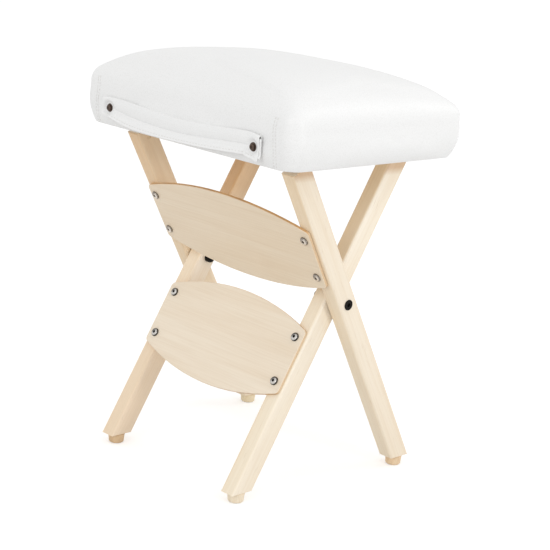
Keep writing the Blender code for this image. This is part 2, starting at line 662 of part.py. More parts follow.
# How the strap hangs, from its far end to its near end: the place along it, then how high its lower edge,
# its middle and its upper edge stand over the seat's underside
STRAP_HANG = (
    (STRAP_HALF_LENGTH, 0.0155, 0.0250, 0.0373),
    (STRAP_SCREW_Y, 0.0130, 0.0249, 0.0380),
    (0.1150, 0.0093, 0.0226, 0.0380),
    (0.0900, 0.0050, 0.0194, 0.0368),
    (0.0450, 0.0038, 0.0164, 0.0340),
    (0.0000, 0.0032, 0.0157, 0.0324),
    (-0.0450, 0.0030, 0.0178, 0.0336),
    (-0.0850, 0.0051, 0.0207, 0.0362),
    (-0.1150, 0.0076, 0.0227, 0.0380),
    (-STRAP_SCREW_Y, 0.0072, 0.0223, 0.0380),
    (-STRAP_HALF_LENGTH, 0.0058, 0.0222, 0.0366),
)


def strap_heights(y):
    """The strap's lower edge, middle and upper edge at one place along it, on smooth curves."""
    last = len(STRAP_HANG) - 1
    index = max(k for k in range(last) if k == 0 or STRAP_HANG[k][0] >= y)
    before, start, end, after = [STRAP_HANG[min(max(k, 0), last)] for k in range(index - 1, index + 3)]
    width = start[0] - end[0]
    share = min(1.0, max(0.0, (start[0] - y) / width))
    rest = 1.0 - share
    heights = []
    for column in (1, 2, 3):
        leave = (end[column] - before[column]) / (before[0] - end[0]) * width
        arrive = (after[column] - start[column]) / (start[0] - after[0]) * width
        level = start[column] * rest * rest * (1.0 + 2.0 * share) + end[column] * share * share * (1.0 + 2.0 * rest)
        heights.append(level + leave * share * rest * rest - arrive * share * share * rest)
    return heights


def strap_height(y, share):
    """The height of a place on the strap; share runs from 0 at its lower edge to 1 at its upper edge."""
    lower, middle, upper = strap_heights(y)
    if share < 0.5:
        return lower + (middle - lower) * share * 2.0
    return middle + (upper - middle) * (share * 2.0 - 1.0)


def strap_slack(y):
    """How free the strap hangs, from 0 at its screws to 1 in the middle."""
    return max(0.0, 1.0 - (y / STRAP_SCREW_Y) ** 2)


def strap_screw_rise(side):
    return STRAP_SCREW_RISE + side * STRAP_SCREW_SKEW


def strap_gap(y, share):
    """The space between the strap's two layers, pressed flat round each screw."""
    bound = (1.0 - strap_slack(y)) ** 1.6
    gap = STRAP_MIDDLE_GAP + bound * (STRAP_END_GAP - STRAP_MIDDLE_GAP) * share
    rise = strap_height(y, share) - strap_screw_rise(math.copysign(1.0, y))
    reach = math.hypot(abs(y) - STRAP_SCREW_Y, rise)
    fade = min(1.0, max(0.0, (reach - STRAP_PRESSED_REACH) / STRAP_PRESSED_FADE))
    press = 1.0 - fade * fade * (3.0 - 2.0 * fade)
    return gap + press * (STRAP_PRESSED_GAP - gap)


def strap_back(y, share):
    """How far the strap's back layer stands off the cushion."""
    slack = strap_slack(y)
    flare = STRAP_LOWER_FLARE * slack ** 0.6 * max(0.0, 1.0 - 2.0 * share)
    flare += STRAP_END_FLARE * (1.0 - slack) * max(0.0, 1.0 - share / 0.15)
    return STRAP_BACK_OFFSET + flare


def strap_section(y):
    """The strip's path at one place along the strap, as (share, offset): up its face, over its fold, down."""
    lower, middle, upper = strap_heights(y)
    top = 1.0 - strap_gap(y, 0.92) / 4.0 / (upper - middle)
    fold_gap = strap_gap(y, top)
    face = [top * k / STRAP_FACE_ROWS for k in range(STRAP_FACE_ROWS + 1)]
    back = [top - top * k / STRAP_BACK_ROWS for k in range(STRAP_BACK_ROWS + 1)]
    section = [(share, strap_back(y, share) + strap_gap(y, share)) for share in face]
    for k in range(1, STRAP_FOLD_STEPS):
        turn = math.pi * k / STRAP_FOLD_STEPS
        share = top + (1.0 - top) * math.sin(turn)
        section.append((share, strap_back(y, top) + fold_gap * (1.0 + math.cos(turn)) / 2))
    return section + [(share, strap_back(y, share)) for share in back]


def strap_mesh():
    rows = STRAP_FACE_ROWS + STRAP_FOLD_STEPS + STRAP_BACK_ROWS
    work = bmesh.new()
    bmesh.ops.create_grid(work, x_segments=STRAP_SPANS, y_segments=rows, size=1.0)
    for vert in work.verts:
        y = vert.co.x * STRAP_HALF_LENGTH
        share, offset = strap_section(y)[round((vert.co.y + 1.0) / 2 * rows)]
        z = SEAT_UNDERSIDE + strap_height(y, share)
        vert.co = in_seat(SEAT_CENTRE_X - CUSHION_HALF_X - offset, y, z)
    return finish_mesh(work, "handle_strap")


def build_seat(outer_legs):
    board_outline = rounded_rectangle(BOARD_HALF_X, BOARD_HALF_Y, BOARD_CORNER_RADIUS)
    board_place = in_seat(SEAT_CENTRE_X, 0.0, SEAT_UNDERSIDE + BOARD_THICKNESS / 2)
    board_mesh = outline_mesh("seat_board", board_outline, BOARD_THICKNESS)
    board = add_part("seat_board", board_mesh, BOARD_PLY, SEAT_FRAME, board_place)

    rail_size = Vector((RAIL_DEPTH, 2 * RAIL_HALF_LENGTH, RAIL_HEIGHT))
    rail_z = SEAT_UNDERSIDE + BOARD_THICKNESS + TOUCH_GAP + RAIL_HEIGHT / 2
    rail_place = in_seat(SEAT_CENTRE_X - BOARD_HALF_X + RAIL_DEPTH / 2, 0.0, rail_z)
    rail = add_part("handle_rail", box_mesh("handle_rail", rail_size), RAIL_PINE, SEAT_FRAME, rail_place)

    cover = cushion_mesh()
    smooth(cover)
    cushion = add_part("seat_cushion", cover, COVER_WHITE, SEAT_FRAME)
    recess_outline = rounded_rectangle(
        BOARD_HALF_X + TOUCH_GAP, BOARD_HALF_Y + TOUCH_GAP, BOARD_CORNER_RADIUS + TOUCH_GAP
    )
    recess = outline_mesh("board_recess", recess_outline, 2 * (BOARD_THICKNESS + TOUCH_GAP))
    recess_place = in_seat(SEAT_CENTRE_X, 0.0, SEAT_UNDERSIDE)
    combine(cushion, add_cutter("board_recess", recess, SEAT_FRAME, recess_place))
    pocket_size = rail_size + Vector((2 * TOUCH_GAP, 2 * TOUCH_GAP, 2 * TOUCH_GAP))
    pocket = box_mesh("rail_pocket", pocket_size)
    combine(cushion, add_cutter("rail_pocket", pocket, SEAT_FRAME, rail_place))

    band = strap_mesh()
    smooth(band)
    strap = add_part("handle_strap", band, STRAP_WHITE, SEAT_FRAME)
    skin = strap.modifiers.new("skin", "SOLIDIFY")
    skin.thickness = STRAP_THICKNESS
    skin.offset = 0.0
    skin.use_even_offset = True

    end_x = SEAT_CENTRE_X - CUSHION_HALF_X
    screw_profile = dome_profile(
        STRAP_HEAD_RADIUS, STRAP_HEAD_HEIGHT, STRAP_SHANK_RADIUS, STRAP_SHANK_LENGTH, SCREW_TIP_LENGTH
    )
    rim = STRAP_WASHER_RADIUS
    eye = STRAP_SHANK_RADIUS + HOLE_CLEARANCE
    thick = STRAP_WASHER_THICKNESS
    ring = [(rim - thick / 2, thick), (rim, 0.0), (eye, 0.0), (eye, thick)]
    for side_name, side in SIDES:
        y = side * STRAP_SCREW_Y
        z = SEAT_UNDERSIDE + strap_screw_rise(side)
        head_place = in_seat(end_x - STRAP_HEAD_OFFSET, y, z)
        name = f"strap_screw_{side_name}"
        add_turned(name, screw_profile, BRONZE, SEAT_FRAME, head_place, ALONG_MINUS_X)
        washer_place = in_seat(end_x - STRAP_WASHER_OFFSET, y, z)
        add_turned(f"strap_washer_{side_name}", ring, BRONZE, SEAT_FRAME, washer_place, ALONG_MINUS_X)
        hole = cylinder_mesh(name + "_hole", eye, 2 * (STRAP_SHANK_LENGTH + TOUCH_GAP))
        cutter = add_cutter(name + "_hole", hole, SEAT_FRAME, head_place, ALONG_MINUS_X)
        for piece in (strap, cushion, rail):
            combine(piece, cutter)

    for side_name, side in SIDES:
        build_hinge(side_name, side, outer_legs[side], board)
    build_batten(board)


def build_stool():
    outer_legs = {}
    inner_legs = {}
    for side_name, side in SIDES:
        outer_y = side * OUTER_LEG_Y
        inner_y = side * INNER_LEG_Y
        outer = add_leg(f"outer_leg_{side_name}", 1, outer_y, OUTER_TOP_REACH, OUTER_FRAME)
        inner = add_leg(f"inner_leg_{side_name}", -1, inner_y, INNER_TOP_REACH, INNER_FRAME)
        build_pivot(side_name, side, outer, inner)
        build_foot(f"outer_foot_{side_name}", outer, OUTER_FRAME, outer_y, TILT)
        build_foot(f"inner_foot_{side_name}", inner, INNER_FRAME, inner_y, -TILT)
        outer_legs[side] = outer
        inner_legs[side] = inner
    build_plate(
        "upper_plate", UPPER_PLATE_HALF_WIDTH, UPPER_PLATE_CENTRE, UPPER_SCREW_Y, UPPER_SCREW_HEIGHTS,
        outer_legs, OUTER_FRAME,
    )
    build_plate(
        "lower_plate", LOWER_PLATE_HALF_WIDTH, LOWER_PLATE_CENTRE, LOWER_SCREW_Y, LOWER_SCREW_HEIGHTS,
        inner_legs, INNER_FRAME,
    )
    build_seat(outer_legs)


build_stool()
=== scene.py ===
# %% [markdown]
# # A white folding stool
# This lesson dresses a small folding stool: crossed maple legs, two lens-shaped plywood plates, a padded
# white seat and a leather carry strap. The rigid parts come ready as a fixed frame, one mesh for each part,
# in metres. We could model everything again, but then the wooden parts would no longer fit the joints. So
# the frame stays as it is, wood and metal get finishes, and only soft parts and screw heads are made anew.

# %% Load the fixed frame
import math

import bpy
from mathutils import Matrix, Vector
from mathutils.bvhtree import BVHTree


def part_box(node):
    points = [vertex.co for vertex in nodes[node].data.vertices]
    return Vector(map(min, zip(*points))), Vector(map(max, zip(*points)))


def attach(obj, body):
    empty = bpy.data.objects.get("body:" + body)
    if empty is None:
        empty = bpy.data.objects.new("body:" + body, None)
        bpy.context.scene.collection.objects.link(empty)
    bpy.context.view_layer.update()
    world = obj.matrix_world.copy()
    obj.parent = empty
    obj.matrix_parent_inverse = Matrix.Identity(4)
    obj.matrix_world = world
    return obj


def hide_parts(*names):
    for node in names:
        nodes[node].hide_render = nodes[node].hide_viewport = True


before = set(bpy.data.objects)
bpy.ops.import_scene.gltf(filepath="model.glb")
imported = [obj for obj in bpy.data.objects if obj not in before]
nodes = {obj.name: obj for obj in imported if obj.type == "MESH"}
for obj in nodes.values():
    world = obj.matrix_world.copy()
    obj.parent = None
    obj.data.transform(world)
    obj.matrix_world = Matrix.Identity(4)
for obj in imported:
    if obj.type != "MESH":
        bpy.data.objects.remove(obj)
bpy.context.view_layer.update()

# %% [markdown]
# ## The camera
# The photograph looks at the stool's strap end and near side from a little above, with a long lens and a
# small tilt of the camera. We could aim a camera at an empty, but a tilt is easier to write as three turns:
# round the upright axis, down from the horizon, and about the line of sight.

# %% Place the camera
CAMERA_PLACE = Vector((-1.31635, -1.33278, 0.73238))
CAMERA_HEADING = math.radians(-45.35)
CAMERA_DOWN = math.radians(14.57)
CAMERA_TILT = math.radians(4.81)
CAMERA_LENS = 97.55
SENSOR_WIDTH = 36.0

bpy.ops.object.select_all(action="DESELECT")
bpy.ops.object.camera_add(location=CAMERA_PLACE)
camera = bpy.context.object
aim = Matrix.Rotation(CAMERA_HEADING, 3, "Z") @ Matrix.Rotation(math.pi / 2 - CAMERA_DOWN, 3, "X")
camera.rotation_euler = (aim @ Matrix.Rotation(CAMERA_TILT, 3, "Z")).to_euler()
camera.data.sensor_width = SENSOR_WIDTH
camera.data.lens = CAMERA_LENS
bpy.context.scene.camera = camera
print("camera lens:", CAMERA_LENS, "mm")

# %% [markdown]
# ## Soft studio light
# The photograph has the even light of a packshot: a white surround and three soft lamps, at the left for
# the strap end, low at the right for the near side and high for the top. A ring of lamps would do it too,
# but a pale world with three area lamps gives the same look with fewer reflections. The surround and the
# floor are white to the camera and a little dimmer as lights, so that a colour renders about as written.

# %% Helpers for node trees
def feed(tree, socket, value):
    """Joins an output to an input, or sets a plain value; a plain colour gets its alpha."""
    if isinstance(value, bpy.types.NodeSocket):
        tree.links.new(value, socket)
    elif socket.type == "RGBA":
        socket.default_value = (*value, 1.0)
    else:
        socket.default_value = value


def add_node(tree, kind, *values, **settings):
    """Adds a shader node of that kind and fills in its inputs, by name or in their order."""
    node = tree.nodes.new("ShaderNode" + kind)
    for name, value in settings.items():
        if name in node.inputs:
            feed(tree, node.inputs[name], value)
        else:
            setattr(node, name, value)
    for socket, value in zip(node.inputs, values):
        feed(tree, socket, value)
    return node


def calc(tree, operation, *values, **settings):
    return add_node(tree, "Math", *values, operation=operation, **settings).outputs[0]


def span(tree, value, low, high, start=0.0, end=1.0):
    """Moves a value from one range to another, and keeps it inside."""
    return add_node(tree, "MapRange", value, start, end, low, high).outputs["Result"]


def seen_directly(tree):
    """One where a camera, glossy or transmitted ray looks, and nothing for the light itself."""
    path = add_node(tree, "LightPath").outputs
    first = calc(tree, "ADD", path["Is Camera Ray"], path["Is Glossy Ray"])
    return calc(tree, "ADD", first, path["Is Transmission Ray"], use_clamp=True)


def empty_material(name):
    material = bpy.data.materials.new(name)
    material.use_nodes = True
    material.node_tree.nodes.clear()
    return material, material.node_tree


# %% World, lamps and floor
WHITE = (1.0, 1.0, 1.0)
SURROUND_LIGHT = 0.85
FLOOR_TONE = 0.72
FLOOR_GLOW = 0.43
LAMPS = (
    ("left", (-2.3, -0.5, 1.3), (0.0, 0.0, 0.4), 1.2, 9.2),
    ("low_right", (0.15, -2.4, 0.8), (0.0, 0.0, 0.28), 0.28, 8.9),
    ("high_right", (1.9, -0.9, 1.7), (0.0, 0.0, 0.45), 1.2, 6.6),
)
FLOOR_SIZE = 40.0
FLOOR_DROP = 0.0004

scene = bpy.context.scene
scene.view_settings.view_transform = "Standard"
world = bpy.data.worlds.new("white_surround")
world.use_nodes = True
scene.world = world
sky = world.node_tree
sky.nodes.clear()
level = span(sky, seen_directly(sky), SURROUND_LIGHT, 1.0)
surround = add_node(sky, "Background", Color=WHITE, Strength=level)
add_node(sky, "OutputWorld", Surface=surround.outputs[0])

for lamp_name, place, target, size, power in LAMPS:
    bpy.ops.object.light_add(type="AREA", location=place)
    lamp = bpy.context.object
    lamp.name = lamp_name
    lamp.rotation_euler = (Vector(target) - Vector(place)).to_track_quat("-Z", "Y").to_euler()
    lamp.data.shape = "DISK"
    lamp.data.size = size
    lamp.data.energy = power

bpy.ops.mesh.primitive_plane_add(size=FLOOR_SIZE, location=(0.0, 0.0, -FLOOR_DROP))
floor = bpy.context.object
floor.name = "studio_floor"
floor_paint, tree = empty_material("floor_white")
matt = add_node(tree, "BsdfDiffuse", Color=(FLOOR_TONE, FLOOR_TONE, FLOOR_TONE))
glow_level = calc(tree, "MULTIPLY", seen_directly(tree), FLOOR_GLOW)
glow = add_node(tree, "Emission", Color=WHITE, Strength=glow_level)
both = add_node(tree, "AddShader", matt.outputs[0], glow.outputs[0])
add_node(tree, "OutputMaterial", Surface=both.outputs[0])
floor.data.materials.append(floor_paint)
print("lamps:", len(LAMPS), "surround:", SURROUND_LIGHT)

# %% [markdown]
# ## Finishes
# Every finish starts from the same few steps: an empty node tree with one shader, Object coordinates, which
# at rest are metres in the frame, and a bump. We could paint pictures and unwrap every part, but
# coordinates need no unwrapping and the grain then runs through the wood as it does in a real plank.

# %% Helpers that every finish uses
UNTURNED = (0.0, 0.0, 0.0)
CALM = 0.3
LIVELY = 0.7


def new_finish(name, colour, rough, **settings):
    """A material with one shader; also its tree, its shader's inputs and its coordinates."""
    finish, tree = empty_material(name)
    finish.diffuse_color = (*colour, 1.0)
    shader = add_node(tree, "BsdfPrincipled", colour, Roughness=rough, **settings)
    add_node(tree, "OutputMaterial", Surface=shader.outputs[0])
    return finish, tree, shader.inputs, add_node(tree, "TexCoord").outputs


def noise(tree, vector, scale, detail, rough, twist=0.0):
    """A cloudy pattern from 0 to 1."""
    settings = {"Scale": scale, "Detail": detail, "Roughness": rough, "Distortion": twist}
    return add_node(tree, "TexNoise", vector, **settings).outputs["Fac"]


def cloudy(tree, place, scale, detail, rough, twist=0.0, turn=UNTURNED):
    """A cloudy pattern that is turned and then stretched, to run along a part."""
    turned = add_node(tree, "Mapping", place["Object"], Rotation=turn, vector_type="POINT")
    scaled = add_node(tree, "VectorMath", turned.outputs[0], scale, operation="MULTIPLY")
    return noise(tree, scaled.outputs[0], 1.0, detail, rough, twist)


def split(tree, vector):
    return add_node(tree, "SeparateXYZ", vector).outputs


def part_along(tree, vector, direction):
    return add_node(tree, "VectorMath", vector, direction, operation="DOT_PRODUCT").outputs["Value"]


def ramp(tree, value, stops):
    """Turns a value into colours, one for each (place, colour) stop."""
    made = add_node(tree, "ValToRGB", value)
    marks = made.color_ramp.elements
    while len(marks) < len(stops):
        marks.new(0.5)
    for mark, (place, colour) in zip(marks, stops):
        mark.position = place
        mark.color = (*colour, 1.0)
    return made.outputs["Color"]


MIX_INPUTS = (0, 6, 7)
MIX_COLOUR = 2


def mix(tree, share, first, second, blend="MIX"):
    """Mixes two colours; colours and share may be outputs or plain values."""
    made = add_node(tree, "Mix", data_type="RGBA", blend_type=blend)
    for index, value in zip(MIX_INPUTS, (share, first, second)):
        feed(tree, made.inputs[index], value)
    return made.outputs[MIX_COLOUR]


def times(tree, first, second, share=1.0):
    return mix(tree, share, first, second, "MULTIPLY")


def gloss_by(tree, look, pattern, calm_rough, lively_rough):
    """Lets a pattern set the roughness."""
    feed(tree, look["Roughness"], span(tree, pattern, calm_rough, lively_rough, CALM, LIVELY))


def bump(tree, look, height, depth, strength):
    """Raises the surface by a pattern, depth metres at most."""
    made = add_node(tree, "Bump", Strength=strength, Distance=depth, Height=height)
    feed(tree, look["Normal"], made.outputs["Normal"])
    return made


def dress(finish, *names):
    """Gives a finish to parts of the frame."""
    for name in names:
        part = nodes[name]
        part.data.materials.clear()
        part.data.materials.append(finish)


# %% [markdown]
# ## Maple for the legs
# The legs are pale, close-grained maple under a thin clear coat: long fine streaks, a slow change of tone
# and a few darker flecks. A wood picture would repeat on every leg. Noise that is stretched along the leg
# never does, so the coordinates are turned upright for each lean before they are stretched. The narrow
# faces get painted shade from their direction and height, from pale at the foot to a honey tone under the
# seat. Each leg also has its own tints at three heights: partly its plank's tone, partly painted shade and
# light. The near legs' wide faces have the seat's shadow painted on close to the seat, and painted light
# makes the cut ends at the top pale.

# %% The maple finish
LEG_LEAN = math.radians(30.0)
MAPLE_PALE = (0.93, 0.835, 0.69)
MAPLE_MID = (0.905, 0.795, 0.635)
MAPLE_DARK = (0.83, 0.68, 0.5)
MAPLE_STREAK = (0.91, 0.87, 0.81)
MAPLE_FLECK = (0.6, 0.44, 0.28)
MAPLE_COAT = {"Coat Weight": 0.12, "Coat Roughness": 0.32}
TONE_GRAIN = (26.0, 26.0, 2.2)
STREAK_GRAIN = (420.0, 420.0, 7.0)
FLECK_GRAIN = (900.0, 900.0, 48.0)
# painted shade: the narrow faces' tints, warmer and darker towards the seat
NARROW_SHADE_HIGH = (0.97, 0.885, 0.765)
NARROW_SHADE_LOW = (1.000, 0.985, 0.945)
NARROW_SHADE_HEIGHTS = (0.16, 0.4)
TINT_HEIGHTS = (0.16, 0.245, 0.335)
# painted shadow of the seat on the near legs' wide faces
SEAT_SHADOW_PAINT = (0.74, 0.6, 0.48)
# painted light: a pale colour for the cut ends at the top, which lie in shade
CUT_END_PAINTED_LIGHT = (0.93, 0.87, 0.77)
WIDE_TURN = (0.3, 0.8)
END_TURN = (0.7, 0.8)


def maple(name, lean, low_tint, middle_tint, top_tint, painted_shade_heights):
    """Maple for a leg with that lean, in its own tints by height: partly plank tone, partly painted shade
    and light.
    """
    finish, tree, look, place = new_finish(name, MAPLE_MID, 0.42, **MAPLE_COAT)
    upright = (0.0, lean, 0.0)
    tone = cloudy(tree, place, TONE_GRAIN, 3.0, 0.5, 0.4, upright)
    streak = cloudy(tree, place, STREAK_GRAIN, 5.0, 0.62, 0.25, upright)
    fleck = cloudy(tree, place, FLECK_GRAIN, 2.0, 0.5, 0.0, upright)
    body = ramp(tree, tone, ((0.36, MAPLE_PALE), (0.56, MAPLE_MID), (0.82, MAPLE_DARK)))
    streaked = times(tree, body, ramp(tree, streak, ((0.3, MAPLE_STREAK), (0.58, WHITE))), 0.55)
    looks = split(tree, place["Normal"])
    wide = span(tree, calc(tree, "ABSOLUTE", looks["Y"]), 0.0, 1.0, *WIDE_TURN)
    height = split(tree, place["Object"])["Z"]
    # painted shade on the narrow faces, growing towards the seat
    narrow_shade = mix(tree, span(tree, height, 0.0, 1.0, *NARROW_SHADE_HEIGHTS), NARROW_SHADE_LOW, NARROW_SHADE_HIGH)
    streaked = mix(tree, wide, times(tree, streaked, narrow_shade), streaked)
    # each leg's tints at three heights: its plank's tone together with painted shade and painted light
    plank_and_shade = ramp(tree, height, tuple(zip(TINT_HEIGHTS, (low_tint, middle_tint, top_tint))))
    toned = times(tree, streaked, plank_and_shade)
    # painted shadow of the seat on the wide faces, close under it
    shade = calc(tree, "MULTIPLY", span(tree, height, 0.0, 1.0, *painted_shade_heights), wide)
    toned = mix(tree, shade, toned, times(tree, toned, SEAT_SHADOW_PAINT))
    # painted light on the cut ends at the top
    toned = mix(tree, span(tree, looks["Z"], 0.0, 1.0, *END_TURN), toned, CUT_END_PAINTED_LIGHT)
    spot = span(tree, fleck, 0.0, 0.45, 0.66, 0.78)
    feed(tree, look["Base Color"], mix(tree, spot, toned, MAPLE_FLECK))
    gloss_by(tree, look, streak, 0.5, 0.36)
    bump(tree, look, streak, 0.00012, 0.5)
    return finish


EVEN_TINT = (0.985, 0.975, 0.965)
HIGH_SHADE = (0.403, 0.412)
LOW_SHADE = (0.394, 0.403)
NO_SHADE = (0.43, 0.44)
# Columns: leg, lean, low, middle and top tints, and where the painted seat shadow starts and ends. The
# tints are partly each plank's tone and partly painted shade and light by height.
LEG_TONES = (
    ("outer_leg_near", LEG_LEAN, EVEN_TINT, EVEN_TINT, EVEN_TINT, HIGH_SHADE),
    ("inner_leg_near", -LEG_LEAN, (1.02, 1.03, 1.045), (1.026, 1.039, 1.059), (1.07, 1.1, 1.14), LOW_SHADE),
    ("outer_leg_far", LEG_LEAN, (0.97, 0.93, 0.87), (0.954, 0.902, 0.831), (0.91, 0.82, 0.72), NO_SHADE),
    ("inner_leg_far", -LEG_LEAN, (0.945, 0.865, 0.8), (1.08, 1.08, 1.1), (0.84, 0.67, 0.5), NO_SHADE),
)
for leg, *tones in LEG_TONES:
    dress(maple(leg + "_maple", *tones), leg)
print("legs finished in maple")

# %% [markdown]
# ## Plywood for the plates and the board
# The two lens-shaped plates are thin plywood: faces of light veneer with a straight grain along the plate,
# and cut edges that show an orange-brown core between two pale veneers. Two materials on one mesh would
# need the faces sorted by hand. The direction that a face looks in tells them apart just as well: along the
# plate's thickness it is veneer, and elsewhere it is edge.

# %% The plywood finish
VENEER_PALE = (0.87, 0.755, 0.6)
VENEER_MID = (0.85, 0.725, 0.565)
VENEER_DARK = (0.8, 0.66, 0.49)
VENEER_STREAK = (0.89, 0.85, 0.8)
EDGE_DARK = (0.4, 0.2, 0.085)
EDGE_CORE = (0.64, 0.38, 0.17)
EDGE_PALE = (0.83, 0.65, 0.43)
VENEER_COAT = {"Coat Weight": 0.08, "Coat Roughness": 0.35}
VENEER_GRAIN = (34.0, 3.0, 34.0)
PORE_GRAIN = (460.0, 9.0, 460.0)
SCORCH_GRAIN = (60.0, 22.0, 60.0)


def reach(name, direction):
    """How far a part of the frame reaches along a direction: its lowest and highest place."""
    places = [point.co.dot(direction) for point in nodes[name].data.vertices]
    return min(places), max(places)


def plywood(name, part, facing, tint, layer_count):
    """Plywood with layers stacked along the facing direction and its grain along the stool's width."""
    low, high = reach(part, facing)
    half_layer = (high - low) / layer_count
    finish, tree, look, place = new_finish(name, VENEER_MID, 0.46, **VENEER_COAT)
    tone = cloudy(tree, place, VENEER_GRAIN, 3.0, 0.5, 0.6)
    streak = cloudy(tree, place, PORE_GRAIN, 5.0, 0.6, 0.3)
    veneer = ramp(tree, tone, ((0.3, VENEER_PALE), (0.55, VENEER_MID), (0.85, VENEER_DARK)))
    fine = ramp(tree, streak, ((0.28, VENEER_STREAK), (0.6, WHITE)))
    face = times(tree, times(tree, veneer, fine, 0.5), tint)
    depth = calc(tree, "SUBTRACT", part_along(tree, place["Object"], facing), (low + high) / 2)
    lines = span(tree, calc(tree, "PINGPONG", depth, half_layer), 0.0, 1.0, 0.0, half_layer)
    edge = ramp(tree, lines, ((0.5, EDGE_CORE), (0.72, EDGE_PALE)))
    scorch = cloudy(tree, place, SCORCH_GRAIN, 4.0, 0.6)
    edge = mix(tree, span(tree, scorch, 0.0, 0.75, 0.4, 0.7), edge, EDGE_DARK)
    # painted light: the edges that face the stool's sides are made pale
    painted_light_side = calc(tree, "ABSOLUTE", split(tree, place["Normal"])["Y"])
    edge = mix(tree, span(tree, painted_light_side, 0.0, 0.65, 0.55, 0.95), edge, EDGE_PALE)
    flat = calc(tree, "ABSOLUTE", part_along(tree, place["Normal"], facing))
    feed(tree, look["Base Color"], mix(tree, span(tree, flat, 0.0, 1.0, 0.45, 0.75), edge, face))
    gloss_by(tree, look, streak, 0.54, 0.4)
    bump(tree, look, streak, 0.0001, 0.5)
    return finish


UPPER_FACING = Vector((-math.cos(LEG_LEAN), 0.0, -math.sin(LEG_LEAN)))
LOWER_FACING = Vector((-math.cos(LEG_LEAN), 0.0, math.sin(LEG_LEAN)))
# The plates' tints are painted light and shade: the lower plate, which faces up, is lighter and the upper
# one warmer and darker.
SHEETS = (
    ("upper_plate", UPPER_FACING, (0.99, 0.97, 0.935), 2),
    ("lower_plate", LOWER_FACING, (1.045, 1.07, 1.105), 2),
    ("seat_board", Vector((0.0, 0.0, 1.0)), WHITE, 8),
)
for part, *build in SHEETS:
    dress(plywood(part + "_plywood", part, *build), part)
print("plates and board finished in plywood")

# %% [markdown]
# ## Small wooden parts
# The feet are turned beech pegs, a shade browner than the legs, with their grain upright. The rail inside
# the cushion and the batten under the board are plain pine and beech strips. All share one recipe.

# %% Feet, rail and batten
PORE_TINT = (0.82, 0.76, 0.68)
PORE_FINER = 6.0


def plain_wood(name, pale, dark, scale, rough):
    """A finish of two tones with fine pores, stretched by the scale; it does for thread as well."""
    finish, tree, look, place = new_finish(name, pale, rough)
    tone = cloudy(tree, place, scale, 4.0, 0.55, 0.3)
    pore = cloudy(tree, place, tuple(PORE_FINER * part for part in scale), 3.0, 0.6)
    body = ramp(tree, tone, ((0.3, pale), (0.75, dark)))
    fine = ramp(tree, pore, ((0.3, PORE_TINT), (0.58, WHITE)))
    feed(tree, look["Base Color"], times(tree, body, fine, 0.6))
    gloss_by(tree, look, pore, rough + 0.08, rough - 0.06)
    bump(tree, look, pore, 0.00015, 0.6)
    return finish


FOOT_GRAIN = (150.0, 150.0, 18.0)
STRIP_GRAIN = (90.0, 5.0, 90.0)
# Each foot's two tones also hold painted light and shade: the far inner foot, in the seat's shade, is
# darker and the near inner and far outer feet paler.
FOOT_LIGHT_AND_SHADE_TONES = (
    ("outer_foot_near", (0.9, 0.7, 0.47), (0.81, 0.59, 0.37)),
    ("inner_foot_near", (0.95, 0.85, 0.68), (0.88, 0.74, 0.55)),
    ("outer_foot_far", (0.95, 0.83, 0.6), (0.88, 0.72, 0.48)),
    ("inner_foot_far", (0.78, 0.57, 0.35), (0.69, 0.48, 0.28)),
)
for foot, pale, dark in FOOT_LIGHT_AND_SHADE_TONES:
    dress(plain_wood(foot + "_beech", pale, dark, FOOT_GRAIN, 0.5), foot)
dress(plain_wood("rail_pine", (0.78, 0.62, 0.4), (0.66, 0.46, 0.25), STRIP_GRAIN, 0.55), "handle_rail")
dress(plain_wood("batten_beech", (0.76, 0.6, 0.42), (0.66, 0.48, 0.3), STRIP_GRAIN, 0.5), "stop_batten")
print("feet:", len(FOOT_LIGHT_AND_SHADE_TONES))

# %% [markdown]
# ## Metal and nylon
# The pivot bolts and cap nuts are black oxide steel, the hinge parts pale brass, the plate screws nickel,
# the strap screws dark bronze and the spacers white nylon. Each is one recipe: a colour, a fine cloud of
# wear in the roughness and a very small bump, so that the gloss breaks up as on handled hardware. The plate
# screws get a painted dark reflection with painted shade at the rim, on one side and in the socket: a value
# on the screw's own points tells. The lower plate's screws have a near-black painted reflection there.

# %% The metal recipe
WEAR_GRAIN = (180.0, 180.0, 180.0)


def metal(name, colour, rough, worn, metallic=1.0, grain=700.0, gloss=0.5, painted_reflection=None):
    """A metal, nylon or black oxide; worn is its colour where handled, and the last colour is a painted
    dark reflection and shade where the points ask for it.
    """
    settings = {"Metallic": metallic, "Specular IOR Level": gloss}
    finish, tree, look, place = new_finish(name, colour, rough, **settings)
    cloud = cloudy(tree, place, (grain, grain, grain), 4.0, 0.6)
    wear = cloudy(tree, place, WEAR_GRAIN, 3.0, 0.55)
    tone = mix(tree, span(tree, wear, 0.0, 0.7, 0.45, 0.8), colour, worn)
    if painted_reflection:
        tone = mix(tree, add_node(tree, "Attribute", attribute_name="dark_reflection_share").outputs["Fac"], tone, painted_reflection)
    feed(tree, look["Base Color"], tone)
    gloss_by(tree, look, cloud, rough - 0.06, rough + 0.12)
    bump(tree, look, cloud, 0.00003, 0.4)
    return finish


